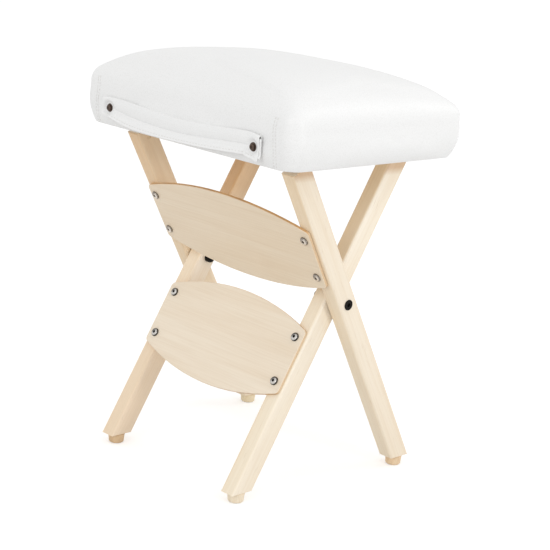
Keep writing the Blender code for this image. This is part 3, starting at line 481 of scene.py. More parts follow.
# painted reflection and shade for the plate screws: the upper plate's screws face the pale floor, the lower
# plate's get a near-black painted reflection
UPPER_DARK_REFLECTION = (0.24, 0.21, 0.18)
LOWER_DARK_REFLECTION = (0.055, 0.05, 0.046)
bolt_black = metal("bolt_black", (0.007, 0.006, 0.005), 0.46, (0.014, 0.011, 0.01), 0.0, gloss=0.1)
brass = metal("hinge_brass", (0.72, 0.56, 0.37), 0.5, (0.6, 0.45, 0.28), metallic=0.4)
satin_nickel = metal("screw_satin_nickel", (0.7, 0.64, 0.57), 0.34, (0.58, 0.52, 0.45), painted_reflection=UPPER_DARK_REFLECTION)
nickel_dark_reflection = metal("screw_dark_nickel", (0.62, 0.6, 0.57), 0.24, (0.48, 0.45, 0.41), painted_reflection=LOWER_DARK_REFLECTION)
bronze = metal("screw_bronze", (0.085, 0.058, 0.045), 0.36, (0.15, 0.1, 0.072), 0.7)
nylon = metal("washer_nylon", (0.78, 0.77, 0.74), 0.42, (0.7, 0.69, 0.66), 0.0, 260.0)
HARDWARE = (
    (bolt_black, ("pivot_bolt", "cap_nut")),
    (brass, ("hinge_", "batten_screw")),
    (nylon, ("spacer_washer",)),
    (bronze, ("strap_washer",)),
)
for finish, starts in HARDWARE:
    dress(finish, *[name for name in nodes if name.startswith(starts)])
print("hardware finishes:", [finish.name for finish, _ in HARDWARE])

# %% [markdown]
# ## White leather
# The cover and the strap are white coated leather with a fine pebbled grain, so small that it only softens
# the gloss from a distance. A picture of leather would stretch over the crown. A cell pattern on
# coordinates keeps its size everywhere: the cells are the pebbles, a finer noise the pores, and a slow
# noise the handled sheen.

# %% The leather finish
LEATHER_WHITE = (0.885, 0.885, 0.88)
LEATHER_VALLEY_SHADE = (0.84, 0.84, 0.832)
LEATHER_SHEEN = {"Specular IOR Level": 0.42}
PEBBLE_WANDER = (0.0008, 0.0008, 0.0008)
PORE_SHARE = 0.25
HANDLED_SCALE = 14.0


def leather(name, pebble, depth):
    """Leather with that many pebbles to the metre, which stand up by that depth."""
    finish, tree, look, place = new_finish(name, LEATHER_WHITE, 0.44, **LEATHER_SHEEN)
    spot = place["Object"]
    wander = add_node(tree, "TexNoise", spot, Scale=pebble * 0.4, Detail=2.0).outputs["Color"]
    shift = add_node(tree, "VectorMath", wander, PEBBLE_WANDER, spot, operation="MULTIPLY_ADD")
    kind = {"feature": "SMOOTH_F1", "Scale": pebble, "Smoothness": 0.6}
    cells = add_node(tree, "TexVoronoi", shift.outputs[0], **kind).outputs["Distance"]
    valley_shade = span(tree, cells, 0.0, 1.0, 0.35, 0.75)
    # painted shade: the pebbles' valleys are a touch darker
    feed(tree, look["Base Color"], mix(tree, valley_shade, LEATHER_WHITE, LEATHER_VALLEY_SHADE))
    gloss_by(tree, look, noise(tree, spot, HANDLED_SCALE, 3.0, 0.5), 0.38, 0.5)
    rise = calc(tree, "MULTIPLY_ADD", noise(tree, spot, pebble * 3.0, 3.0, 0.6), PORE_SHARE, cells)
    bump(tree, look, rise, depth, 0.35).invert = True
    return finish


cover_leather = leather("cover_leather", 850.0, 0.00018)
strap_leather = leather("strap_leather", 950.0, 0.00016)
thread = plain_wood("white_thread", (0.86, 0.86, 0.85), (0.74, 0.74, 0.73), (900.0, 900.0, 900.0), 0.6)
print("leather finishes:", cover_leather.name, strap_leather.name)

# %% [markdown]
# ## The padded seat
# The seat is a foam cushion on a board, pulled over with leather: sides that draw in to the board, full
# soft shoulders and a crown. We could sculpt it, but the frame already gives its form as a rule, so a grid
# is bent by that rule, its rim is extruded down the sides and under, and a short cloth simulation with a
# little air pressure then plumps it. The points stapled to the board stay pinned. Foam is never quite even:
# the crown is a little higher at the strap end, and the sides away from the strap bulge by 2 or 3 mm.

# %% The seat's form
SEAT_UNDERSIDE = 0.423
SEAT_CENTRE_X = 0.0029
CUSHION_HALF_X = 0.153
CUSHION_HALF_Y = 0.192
SIDE_HEIGHT = 0.0436
CROWN_HEIGHT = 0.0612
CORNER_RADIUS = 0.022
DRAW_X = 0.008
DRAW_Y = 0.009
FAR_DRAW_X = 0.0055
FAR_DRAW_Y = 0.0062
NEAR_FULL = 0.0018
FAR_FULL = 0.0034
END_FULL = 0.0024
CROWN_SKEW = 0.075
BOARD_HALF_X = 0.14
BOARD_HALF_Y = 0.178
SHOULDER_POWER = 3.06
SHOULDER_ROOT = 2.65
CORNER_FULLNESS = 1.74
CROWN_RIM = 0.999999
BOARD_THICKNESS = 0.012
BOARD_CORNER = 0.015
REST_GAP = 0.0003


def shoulder(share):
    return max(0.0, 1.0 - abs(share) ** SHOULDER_POWER) ** (1.0 / SHOULDER_ROOT)


def crown_share(along, across):
    """How much of the crown's height stands over a place, from 0 at the rim to 1 in the middle."""
    if max(abs(along), abs(across)) > CROWN_RIM:
        return 0.0
    both = shoulder(along) ** -CORNER_FULLNESS + shoulder(across) ** -CORNER_FULLNESS - 1.0
    return both ** (-1.0 / CORNER_FULLNESS)


def corner_cut(share, half, radius):
    """How far a side draws in near its end, so that it runs into the next side on an arc."""
    corner = half - radius * (1.0 - math.sqrt(0.5))
    past = max(0.0, abs(share) * corner - (half - radius))
    return radius - math.sqrt(radius * radius - past * past)


def round_outline(along, across, half_x, half_y, radius):
    """Bends a place in a square from -1 to 1 into a rectangle with round corners."""
    x = along * (half_x - corner_cut(across, half_y, radius))
    y = across * (half_y - corner_cut(along, half_x, radius))
    return x, y


def cover_place(along, across, rise, crown=CROWN_HEIGHT, inset=0.0):
    """A place on the cover; rise runs from 0 at the lower edge to 1 where the side meets the crown."""
    slack = (1.0 - rise) ** 2
    full = math.sin(math.pi * rise)
    draw_x, full_x = (FAR_DRAW_X, END_FULL) if along > 0.0 else (DRAW_X, 0.0)
    draw_y, full_y = (FAR_DRAW_Y, FAR_FULL) if across > 0.0 else (DRAW_Y, NEAR_FULL)
    half_x = CUSHION_HALF_X - inset - draw_x * slack + full_x * full
    half_y = CUSHION_HALF_Y - inset - draw_y * slack + full_y * full
    x, y = round_outline(along, across, half_x, half_y, CORNER_RADIUS)
    z = SEAT_UNDERSIDE + SIDE_HEIGHT * rise
    if rise == 1.0:
        z += crown * crown_share(along, across) * (1.0 - CROWN_SKEW * along)
    return Vector((SEAT_CENTRE_X + x, y, z))


def recess_place(along, across, depth):
    """A place on the recess under the cushion that holds the board."""
    x, y = round_outline(along, across, BOARD_HALF_X + REST_GAP, BOARD_HALF_Y + REST_GAP, BOARD_CORNER)
    z = SEAT_UNDERSIDE + depth * (BOARD_THICKNESS + REST_GAP)
    return Vector((SEAT_CENTRE_X + x, y, z))


print("crown at the middle:", round(cover_place(0.0, 0.0, 1.0).z, 4), "m")

# %% Helpers for modelling by operator
SOFT_ANGLE = 60.0


def start_fresh():
    """Leaves edit mode and deselects everything, so that an operator acts only on what comes next."""
    if bpy.context.object and bpy.context.object.mode != "OBJECT":
        bpy.ops.object.mode_set(mode="OBJECT")
    bpy.ops.object.select_all(action="DESELECT")


def only(piece):
    start_fresh()
    piece.select_set(True)
    bpy.context.view_layer.objects.active = piece


def new_grid(name, columns, rows):
    """A flat grid from -1 to 1 both ways, to be bent into shape."""
    start_fresh()
    bpy.ops.mesh.primitive_grid_add(x_subdivisions=columns, y_subdivisions=rows, size=2.0)
    grid = bpy.context.object
    grid.name = name
    return grid


def choose(piece, kind, test):
    """Goes into edit mode with just those faces or edges selected that pass the test."""
    only(piece)
    bpy.ops.object.mode_set(mode="EDIT")
    bpy.ops.mesh.select_mode(type=kind)
    bpy.ops.mesh.select_all(action="DESELECT")
    bpy.ops.object.mode_set(mode="OBJECT")
    for item in piece.data.polygons if kind == "FACE" else piece.data.edges:
        item.select = test(item)
    bpy.ops.object.mode_set(mode="EDIT")


def choose_rim(piece):
    """Goes into edit mode with the open rim selected: the edges that have only one face."""
    uses = {}
    for face in piece.data.polygons:
        for key in face.edge_keys:
            uses[key] = uses.get(key, 0) + 1
    choose(piece, "EDGE", lambda edge: uses[edge.key] == 1)


def extrude_up(distance):
    bpy.ops.mesh.extrude_region_move(TRANSFORM_OT_translate={"value": (0.0, 0.0, distance)})


def face_outwards(piece):
    only(piece)
    bpy.ops.object.mode_set(mode="EDIT")
    bpy.ops.mesh.select_all(action="SELECT")
    bpy.ops.mesh.normals_make_consistent(inside=False)
    bpy.ops.object.mode_set(mode="OBJECT")


def apply_modifier(piece, kind, **settings):
    only(piece)
    modifier = piece.modifiers.new(kind.lower(), kind)
    for name, value in settings.items():
        setattr(modifier, name, value)
    bpy.ops.object.modifier_apply(modifier=modifier.name)


def cut_with(piece, cutter, solver="EXACT"):
    """Takes the cutter's shape out of a piece and removes the cutter."""
    apply_modifier(piece, "BOOLEAN", operation="DIFFERENCE", object=cutter, solver=solver)
    bpy.data.objects.remove(cutter)


def copy_of(piece, directions, place):
    """A copy of a piece at a place, with its own three axes turned to those directions."""
    copy = piece.copy()
    copy.data = piece.data.copy()
    bpy.context.collection.objects.link(copy)
    copy.data.transform(Matrix.Translation(place) @ Matrix(directions).transposed().to_4x4())
    return copy


def finish_piece(piece, finish, body, angle=SOFT_ANGLE):
    """Shades a new piece, gives it its finish and lets it ride on a body."""
    only(piece)
    bpy.ops.object.shade_smooth_by_angle(angle=math.radians(angle))
    piece.data.materials.clear()
    piece.data.materials.append(finish)
    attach(piece, body)


# %% Build the cover as a grid with extruded sides
GRID_X = 52
GRID_Y = 64
SIDE_LEVELS = (0.9, 0.78, 0.64, 0.5, 0.36, 0.22, 0.1, 0.03, 0.0)
RECESS_MARKS = (-1.0, -2.0)
STAPLED_BELOW = 0.05
RECESS_BELOW = -0.5
PLUMP_ROOM = 0.0008
ROOM_GROWTH = 1.6

cover = new_grid("cushion_cover", GRID_X, GRID_Y)
for point in cover.data.vertices:
    point.co.z = 1.0
height = 1.0
for mark in SIDE_LEVELS + RECESS_MARKS:
    choose_rim(cover)
    extrude_up(mark - height)
    height = mark
    start_fresh()

pins = cover.vertex_groups.new(name="stapled")
for point in cover.data.vertices:
    along = math.sin(point.co.x * math.pi / 2)
    across = math.sin(point.co.y * math.pi / 2)
    mark = point.co.z
    if mark < STAPLED_BELOW:
        pins.add([point.index], 1.0, "REPLACE")
    if mark < RECESS_BELOW:
        point.co = recess_place(along, across, -mark - 1.0)
    else:
        room = PLUMP_ROOM * min(1.0, mark * ROOM_GROWTH)
        point.co = cover_place(along, across, round(mark, 4), CROWN_HEIGHT - PLUMP_ROOM, room)
face_outwards(cover)
print("cover:", len(cover.data.vertices), "points")

# %% Plump it with a short cloth simulation
PLUMP_FRAMES = 20
PLUMP_CAP = 0.0022
PLUMP_CLOTH = {
    "quality": 6,
    "mass": 0.3,
    "tension_stiffness": 18.0,
    "compression_stiffness": 18.0,
    "bending_stiffness": 0.8,
    "use_pressure": True,
    "uniform_pressure_force": 4.0,
    "vertex_group_mass": "stapled",
}

resting = [point.co.copy() for point in cover.data.vertices]
cloth = cover.modifiers.new("plump", "CLOTH")
for name, value in PLUMP_CLOTH.items():
    setattr(cloth.settings, name, value)
cloth.settings.effector_weights.gravity = 0.0
cloth.point_cache.frame_start = 1
cloth.point_cache.frame_end = PLUMP_FRAMES
for step in range(1, PLUMP_FRAMES + 1):
    scene.frame_set(step)
swollen = cover.evaluated_get(bpy.context.evaluated_depsgraph_get()).to_mesh()
moved = [point.co.copy() for point in swollen.vertices]
cover.modifiers.remove(cloth)
scene.frame_set(1)
outwards = [normal.vector.copy() for normal in cover.data.vertex_normals]
for point, start, end, outward in zip(cover.data.vertices, resting, moved, outwards):
    swell = (end - start).dot(outward)
    point.co = start + outward * min(PLUMP_CAP, max(0.0, swell))
furthest = max((point.co - start).length for point, start in zip(cover.data.vertices, resting))
print("the cover swelled by up to", round(furthest * 1000, 2), "mm")

# %% Smooth the cover, cut the rail's pocket and hand it over
apply_modifier(cover, "SUBSURF", levels=1, render_levels=1)
choose_rim(cover)
bpy.ops.mesh.edge_face_add()
start_fresh()
rail_low, rail_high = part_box("handle_rail")
bpy.ops.mesh.primitive_cube_add(size=1.0, location=(rail_low + rail_high) / 2)
pocket = bpy.context.object
pocket.scale = [side + 2 * REST_GAP for side in rail_high - rail_low]
bpy.ops.object.transform_apply()
cut_with(cover, pocket, "FAST")
finish_piece(cover, cover_leather, "seat")
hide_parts("seat_cushion")
print("cover:", len(cover.data.polygons), "faces")

# %% [markdown]
# ## Corner seams
# The cover's side panels wrap round the corners and meet the two end panels in upright seams: a groove
# between two soft ridges, with a row of top-stitching on each. A groove in the cover itself would need a
# much finer mesh, so each seam is a narrow raised strip, laid on the cover by asking it for its nearest
# surface.

# %% The seam strips
SIDES = (("near", -1.0), ("far", 1.0))
CORNERS = [
    (f"{end}_{side}", side_x, side_y)
    for end, side_x in (("strap_end", -1.0), ("far_end", 1.0))
    for side, side_y in SIDES
]
SEAM_TOP = 0.34
SEAM_Y = 0.16
SEAM_STEPS = 44
SEAM_SECTION = ((-0.0036, -0.0003), (-0.0027, 0.0002), (-0.0016, 0.0004), (-0.0005, 0.0002), (0.0, -0.0004))
SEAM_ACROSS = SEAM_SECTION + tuple((-offset, rise) for offset, rise in reversed(SEAM_SECTION[:-1]))
SEAM_SKIN = 0.0009
SEAM_TOP_FADE = 6.0
SEAM_FOOT = 0.3
SEAM_FOOT_FADE = 8.0
PATH_FOOT = 0.02
PATH_SIDE_STEPS = 20
PATH_TOP_STEPS = 60
PATH_TOP_SPAN = 0.5
BELOW_CROWN = 0.9999
TINY = 1e-9


def corner_path(side_x, side_y):
    """Places up one seam: the upright end face first, then over the shoulder."""
    corner_y = CUSHION_HALF_Y - corner_cut(1.0, CUSHION_HALF_X, CORNER_RADIUS)
    path = []
    for step in range(PATH_SIDE_STEPS + 1):
        rise = PATH_FOOT + (1.0 - PATH_FOOT) * step / PATH_SIDE_STEPS
        across = side_y * SEAM_Y / (corner_y - DRAW_Y * (1.0 - rise) ** 2)
        path.append(cover_place(side_x, across, min(rise, BELOW_CROWN)))
    for step in range(1, PATH_TOP_STEPS):
        share = 1.0 - PATH_TOP_SPAN * (step / PATH_TOP_STEPS) ** 2
        place = cover_place(side_x * share, across, 1.0)
        if place.z > SEAT_UNDERSIDE + SIDE_HEIGHT + SEAM_TOP * CROWN_HEIGHT:
            break
        path.append(place)
    return path


def even_steps(path, count):
    """The same path with evenly spaced places, and its length."""
    lengths = [0.0]
    for first, second in zip(path, path[1:]):
        lengths.append(lengths[-1] + (second - first).length)
    even = []
    for step in range(count + 1):
        want = lengths[-1] * step / count
        index = max(k for k in range(len(path) - 1) if lengths[k] <= want + TINY)
        share = (want - lengths[index]) / max(TINY, lengths[index + 1] - lengths[index])
        even.append(path[index].lerp(path[index + 1], min(1.0, share)))
    return even, lengths[-1]


cover_surface = BVHTree.FromPolygons(
    [point.co for point in cover.data.vertices], [face.vertices for face in cover.data.polygons]
)


def on_cover(place):
    """The nearest place on the cover, with the direction that the cover faces there."""
    spot, facing, _, _ = cover_surface.find_nearest(place)
    return spot, facing


def seam_frames(side_x, side_y, count):
    """At each step up a corner: the place on the cover, the way across the seam and the way ahead."""
    path, length = even_steps(corner_path(side_x, side_y), count)
    spots = [on_cover(place)[0] for place in path]
    frames = []
    for index, spot in enumerate(spots):
        ahead = spots[min(index + 1, count)] - spots[max(index - 1, 0)]
        across = ahead.cross(Vector((side_x, 0.0, 0.0))).normalized()
        frames.append((spot, across, ahead.normalized()))
    return frames, length


columns = len(SEAM_ACROSS) - 1
for corner, side_x, side_y in CORNERS:
    frames, length = seam_frames(side_x, side_y, SEAM_STEPS)
    seam = new_grid(f"corner_seam_{corner}", columns, SEAM_STEPS)
    for point in seam.data.vertices:
        offset, rise = SEAM_ACROSS[round((point.co.x + 1.0) / 2 * columns)]
        share = (point.co.y + 1.0) / 2
        spot, across, _ = frames[round(share * SEAM_STEPS)]
        surface, facing = on_cover(spot + across * offset)
        fade = min(1.0, SEAM_TOP_FADE * (1.0 - share), SEAM_FOOT + SEAM_FOOT_FADE * share)
        point.co = surface + facing * (rise * fade if rise > 0 else rise)
    apply_modifier(seam, "SOLIDIFY", thickness=SEAM_SKIN, offset=-1.0)
    face_outwards(seam)
    apply_modifier(seam, "SUBSURF", levels=1, render_levels=1)
    finish_piece(seam, cover_leather, "seat")
print("seam length:", round(length * 1000, 1), "mm at each corner")

# %% The stitches, modelled once and copied
STITCH_OFFSET = 0.0019
STITCH_PITCH = 0.004
STITCH_LENGTH = 0.0028
STITCH_RADIUS = 0.00042
STITCH_LIFT = 0.0004
STITCH_WAIST = 0.0001

start_fresh()
bpy.ops.mesh.primitive_uv_sphere_add(segments=8, ring_count=6, radius=STITCH_RADIUS)
stitch = bpy.context.object
for point in stitch.data.vertices:
    longer = (STITCH_LENGTH / 2 - STITCH_RADIUS) * min(1.0, abs(point.co.z) / STITCH_WAIST)
    point.co.z += math.copysign(longer, point.co.z)


def sew(name, stitches):
    """One piece of thread from many (place, along, out) stitches, each a copy of the first."""
    start_fresh()
    copies = []
    for place, along, out in stitches:
        side = along.cross(out).normalized()
        copies.append(copy_of(stitch, (side, out, along), place))
    for copy in copies:
        copy.select_set(True)
    bpy.context.view_layer.objects.active = copies[0]
    bpy.ops.object.join()
    sewn = bpy.context.object
    sewn.name = name
    finish_piece(sewn, thread, "seat")


count = round(length / STITCH_PITCH)
for corner, side_x, side_y in CORNERS:
    frames, _ = seam_frames(side_x, side_y, count)
    row = []
    for spot, across, ahead in frames[1:-1]:
        for offset in (-STITCH_OFFSET, STITCH_OFFSET):
            surface, facing = on_cover(spot + across * offset)
            row.append((surface + facing * STITCH_LIFT, ahead, facing))
    sew(f"corner_stitches_{corner}", row)
print("stitches at each corner:", len(row))

# %% [markdown]
# ## The carry strap
# The strap is a strip of leather folded lengthwise over its top edge, with its lower edges sewn together
# and its ends tucked in. Two screws pin it to the seat, so it sags between them, creases from screw to
# screw, and its lower half stands away. A bent box would look like a moulding. Here a grid follows the
# strip's own path, up its face, over the fold and down its back, between heights that were read along it.

# %% The strap's heights
STRAP_SIDE = Vector((-1.0, 0.0, 0.0))
STRAP_SKIN = 0.0009
STRAP_HALF_LENGTH = 0.143
STRAP_SCREW_Y = 0.1313
STRAP_SCREW_RISE = 0.0236
STRAP_SCREW_SKEW = 0.0013
STRAP_MARKS = (
    (0.1430, 0.0160, 0.0250, 0.0373),
    (0.1313, 0.0140, 0.0249, 0.0380),
    (0.1150, 0.0108, 0.0226, 0.0380),
    (0.0900, 0.0068, 0.0194, 0.0368),
    (0.0450, 0.0052, 0.0164, 0.0340),
    (0.0000, 0.0056, 0.0157, 0.0324),
    (-0.0450, 0.0070, 0.0178, 0.0336),
    (-0.0850, 0.0093, 0.0207, 0.0362),
    (-0.1150, 0.0112, 0.0227, 0.0380),
    (-0.1313, 0.0092, 0.0223, 0.0380),
    (-0.1430, 0.0072, 0.0222, 0.0366),
)


def strap_heights(y):
    """Lower edge, crease and upper edge over the seat's underside, on smooth curves through the marks."""
    last = len(STRAP_MARKS) - 2
    index = max(k for k in range(last + 1) if k == 0 or STRAP_MARKS[k][0] >= y)
    before, start, end, after = [STRAP_MARKS[min(max(k, 0), last + 1)] for k in range(index - 1, index + 3)]
    width = start[0] - end[0]
    share = min(1.0, max(0.0, (start[0] - y) / width))
    rest = 1.0 - share
    heights = []
    for column in (1, 2, 3):
        leave = (end[column] - before[column]) / (before[0] - end[0]) * width
        arrive = (after[column] - start[column]) / (start[0] - after[0]) * width
        value = start[column] * rest * rest * (1.0 + 2.0 * share)
        value += end[column] * share * share * (1.0 + 2.0 * rest)
        heights.append(value + leave * share * rest * rest - arrive * share * share * rest)
    return heights


print("strap's sag:", round((STRAP_SCREW_RISE - strap_heights(0.0)[1]) * 1000, 1), "mm")

# %% The strap's thickness and flare
GAP_END = 0.005
GAP_CREASE = 0.001
GAP_LOW = 0.0017
GAP_BULGE = 0.0026
GAP_LEAST = 0.0001
LOOP_REACH = (0.12, 0.141)
LOOP_FOOT = 0.75
PRESSED_GAP = 0.0011
PRESSED_REACH = 0.0064
PRESSED_FADE = 0.0052
LOWER_FLARE = 0.0046
FLARE_POWER = 0.45
END_FLARE = 0.0022
END_FLARE_TOP = 0.27
GROOVE_DEPTH = 0.0006
GROOVE_SPREAD = 0.026
GROOVE_END = (0.118, 0.13)
PULL_DEPTH = 0.002
PULL_ANGLE = math.radians(52.0)
PULL_SPREAD = math.radians(11.0)
PULL_START = (0.004, 0.009)
PULL_END = (0.017, 0.026)


def strap_height(y, share):
    """The height of one place on the strap's face; share runs from its lower edge to its upper edge."""
    lower, crease, upper = strap_heights(y)
    if share < 0.5:
        return lower + (crease - lower) * share * 2.0
    return crease + (upper - crease) * (share * 2.0 - 1.0)


def soft_step(value, start, end):
    share = min(1.0, max(0.0, (value - start) / (end - start)))
    return share * share * (3.0 - 2.0 * share)


def from_screw(y, share):
    """A place on the strap's face as seen from the nearer screw: how far outwards and how far up."""
    screw_rise = STRAP_SCREW_RISE + math.copysign(STRAP_SCREW_SKEW, y)
    return abs(y) - STRAP_SCREW_Y, strap_height(y, share) - screw_rise


def strap_gap(y, share):
    """The space between the strap's two layers at one place."""
    if share < 0.5:
        gap = GAP_CREASE + (GAP_LOW - GAP_CREASE) * (1.0 - 2.0 * share)
    else:
        gap = GAP_CREASE + (GAP_BULGE - GAP_CREASE) * math.sin(math.pi * (2.0 * min(share, 1.0) - 1.0))
    loop = soft_step(abs(y), *LOOP_REACH)
    gap += loop * (GAP_END * (LOOP_FOOT + (1.0 - LOOP_FOOT) * share) - gap)
    distance = math.hypot(*from_screw(y, share))
    press = 1.0 - soft_step(distance, PRESSED_REACH, PRESSED_REACH + PRESSED_FADE)
    return max(gap + press * (PRESSED_GAP - gap), STRAP_SKIN + GAP_LEAST)


def strap_dip(y, share):
    """How far both layers dip towards the seat: along the crease, and where the near screw pulls."""
    painted_light_side, height = from_screw(y, share)
    distance = math.hypot(painted_light_side, height)
    groove = GROOVE_DEPTH * math.exp(-(((share - 0.5) / GROOVE_SPREAD) ** 2))
    dip = groove * soft_step(distance, PRESSED_REACH, 2.0 * PRESSED_REACH)
    dip *= 1.0 - soft_step(abs(y), *GROOVE_END)
    if y < 0.0:
        turn = math.atan2(-painted_light_side, -height) - PULL_ANGLE
        pull = PULL_DEPTH * math.exp(-((turn / PULL_SPREAD) ** 2))
        dip += pull * soft_step(distance, *PULL_START) * (1.0 - soft_step(distance, *PULL_END))
    return dip


def strap_back(y, share):
    """How far the strap's back layer stands off the seat, most where its lower edge hangs slack."""
    slack = max(0.0, 1.0 - (y / STRAP_SCREW_Y) ** 2)
    flare = LOWER_FLARE * slack ** FLARE_POWER * max(0.0, 1.0 - 2.0 * share)
    flare += END_FLARE * (1.0 - slack) * max(0.0, (END_FLARE_TOP - share) / END_FLARE_TOP)
    return REST_GAP + STRAP_SKIN / 2 + flare - strap_dip(y, share)


def strap_face(y, share):
    """How far the strap's face layer stands off the seat."""
    return strap_back(y, share) + strap_gap(y, share)


def strap_place(y, share, offset):
    return Vector((SEAT_CENTRE_X - CUSHION_HALF_X - offset, y, SEAT_UNDERSIDE + strap_height(y, share)))


# %% Fold the strip and give it its thickness
STRAP_SPANS = 250
FACE_ROWS = 46
FOLD_STEPS = 10
BACK_ROWS = 10
FOLD_SHARE = 0.92
STRAP_BEVEL = 0.0003
BEVEL_ANGLE = math.radians(50.0)


def strap_section(y):
    """The strip's path at one place along the strap: up its face, over the fold and down its back."""
    _, crease, upper = strap_heights(y)
    fold_radius = strap_gap(y, FOLD_SHARE) / 2
    top = 1.0 - fold_radius / 2 / (upper - crease)
    fold_gap = strap_gap(y, top)
    face = [top * k / FACE_ROWS for k in range(FACE_ROWS + 1)]
    section = [(share, strap_face(y, share)) for share in face]
    for k in range(1, FOLD_STEPS):
        turn = math.pi * k / FOLD_STEPS
        share = top + (1.0 - top) * math.sin(turn)
        section.append((share, strap_back(y, top) + fold_gap * (1.0 + math.cos(turn)) / 2))
    back = [top - top * k / BACK_ROWS for k in range(BACK_ROWS + 1)]
    return section + [(share, strap_back(y, share)) for share in back]


def make_leather(piece, skin, bevel, steps):
    """Gives a bent grid its thickness, its soft edges and the strap's leather."""
    face_outwards(piece)
    apply_modifier(piece, "SOLIDIFY", thickness=skin, offset=0.0)
    edges = {"limit_method": "ANGLE", "angle_limit": BEVEL_ANGLE}
    apply_modifier(piece, "BEVEL", width=bevel, segments=steps, **edges)
    finish_piece(piece, strap_leather, "seat")


rows = FACE_ROWS + FOLD_STEPS + BACK_ROWS
strap = new_grid("folded_strap", STRAP_SPANS, rows)
sections = {}
for point in strap.data.vertices:
    y = point.co.x * STRAP_HALF_LENGTH
    if y not in sections:
        sections[y] = strap_section(y)
    share, offset = sections[y][round((point.co.y + 1.0) / 2 * rows)]
    point.co = strap_place(y, share, offset)
make_leather(strap, STRAP_SKIN, STRAP_BEVEL, steps=2)
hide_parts("handle_strap")
print("strap:", len(strap.data.polygons), "faces")

# %% The tucked-in ends and the sewn lower edge
TUCK_LENGTH = 0.0052
TUCK_PROUD = 0.0006
TUCK_SKIN = 0.0024
TUCK_BEVEL = 0.0009
TUCK_LOW = 0.1
TUCK_HIGH = 0.88
TUCK_SPANS = 16
TUCK_ROWS = 18
SEWN_SHARE = 0.13
SEWN_PITCH = 0.0052
SEWN_FROM = 0.006
SEWN_TO = 0.005
LOOK_AHEAD = 0.002

for side_name, side in SIDES:
    tuck = new_grid(f"strap_tuck_{side_name}", TUCK_SPANS, TUCK_ROWS)
    for point in tuck.data.vertices:
        y = side * (STRAP_HALF_LENGTH + TUCK_PROUD - TUCK_LENGTH * (1.0 - point.co.x) / 2)
        share = TUCK_LOW + (TUCK_HIGH - TUCK_LOW) * (point.co.y + 1.0) / 2
        point.co = strap_place(y, share, strap_back(y, share) + strap_gap(y, share) / 2)
    make_leather(tuck, TUCK_SKIN, TUCK_BEVEL, steps=4)


def sewn_place(y):
    return strap_place(y, SEWN_SHARE, strap_face(y, SEWN_SHARE) + STRAP_SKIN / 2)


sewn_row = []
y = -STRAP_HALF_LENGTH + SEWN_FROM
while y < STRAP_HALF_LENGTH - SEWN_TO:
    ahead = sewn_place(y + LOOK_AHEAD) - sewn_place(y)
    sewn_row.append((sewn_place(y), ahead.normalized(), STRAP_SIDE))
    y += SEWN_PITCH
sew("strap_stitches", sewn_row)
bpy.data.objects.remove(stitch)
print("stitches along the strap:", len(sewn_row))

# %% [markdown]
# ## Screw heads
# The plates are held by button-head screws with a hexagon socket, the strap by pan heads with a cross
# recess, and the legs by pivot bolts whose heads are nearly flush. The frame's screws are plainer. Each
# kind is modelled upright at the origin: a cylinder, its rim bevelled to a dome, its underside inset and
# extruded to a shank, and its socket cut with another primitive. Copies are then turned to each screw's
# axis.

# %% One button-head screw
HEAD_RADIUS = 0.0056
HEAD_HEIGHT = 0.0026
HEAD_DOME = 0.0023
HEAD_SIDES = 40
DOME_STEPS = 7
SHANK_RADIUS = 0.002
SHANK_LENGTH = 0.022
TIP_SHARE = 0.18
TIP_WIDTH = 0.25
SOCKET_RADIUS = 0.0021
SOCKET_DEPTH = 0.0017
MOSTLY = 0.9


def dome_screw(name, radius, height, dome, shank, length):
    """A dome head with a shank below it, its top at the origin and its axis upright."""
    start_fresh()
    middle = (0.0, 0.0, -height / 2)
    bpy.ops.mesh.primitive_cylinder_add(vertices=HEAD_SIDES, radius=radius, depth=height, location=middle)
    screw = bpy.context.object
    screw.name = name
    bpy.ops.object.transform_apply()
    points = screw.data.vertices
    choose(screw, "EDGE", lambda edge: all(points[index].co.z > -1e-6 for index in edge.vertices))
    bpy.ops.mesh.bevel(offset=dome, segments=DOME_STEPS, profile=0.5, affect="EDGES")
    choose(screw, "FACE", lambda face: face.normal.z < -MOSTLY)
    bpy.ops.mesh.inset(thickness=radius - shank)
    for share in (1.0 - TIP_SHARE, TIP_SHARE):
        extrude_up(-length * share)
    tip = (0.0, 0.0, -height - length)
    bpy.ops.transform.resize(value=(TIP_WIDTH, TIP_WIDTH, 1.0), center_override=tip)
    start_fresh()
    return screw


def cut_hexagon(screw, radius, depth):
    bpy.ops.mesh.primitive_cylinder_add(vertices=6, radius=radius, depth=2 * depth)
    cut_with(screw, bpy.context.object)


button = dome_screw("button_screw", HEAD_RADIUS, HEAD_HEIGHT, HEAD_DOME, SHANK_RADIUS, SHANK_LENGTH)
cut_hexagon(button, SOCKET_RADIUS, SOCKET_DEPTH)
print("button screw:", len(button.data.polygons), "faces")

# %% Paint dark reflection and shade on its rim, its socket and one side
SOCKET_EDGE = 0.0001
SOCKET_TOP = -0.0002
RIM_START = 0.72 * HEAD_RADIUS
RIM_END = 0.94 * HEAD_RADIUS
REFLECTING_SIDE = 0.7 * HEAD_RADIUS
SIDE_REFLECTION = 0.85

# painted dark reflection and shade: full in the socket, rising towards the rim, and on one side of the dome
painted_reflection = button.data.attributes.new("dark_reflection_share", "FLOAT", "POINT")
for point, mark in zip(button.data.vertices, painted_reflection.data):
    radius = math.hypot(point.co.x, point.co.y)
    in_socket = radius < SOCKET_RADIUS + SOCKET_EDGE and point.co.z < SOCKET_TOP
    rim = soft_step(radius, RIM_START, RIM_END)
    one_side = soft_step(point.co.y + point.co.x, 0.0, REFLECTING_SIDE)
    mark.value = 1.0 if in_socket else max(rim, SIDE_REFLECTION * one_side)
print("darkened points:", sum(mark.value > 0.0 for mark in painted_reflection.data))

# %% Copies on the two plates
HEAD_ANGLE = 32.0


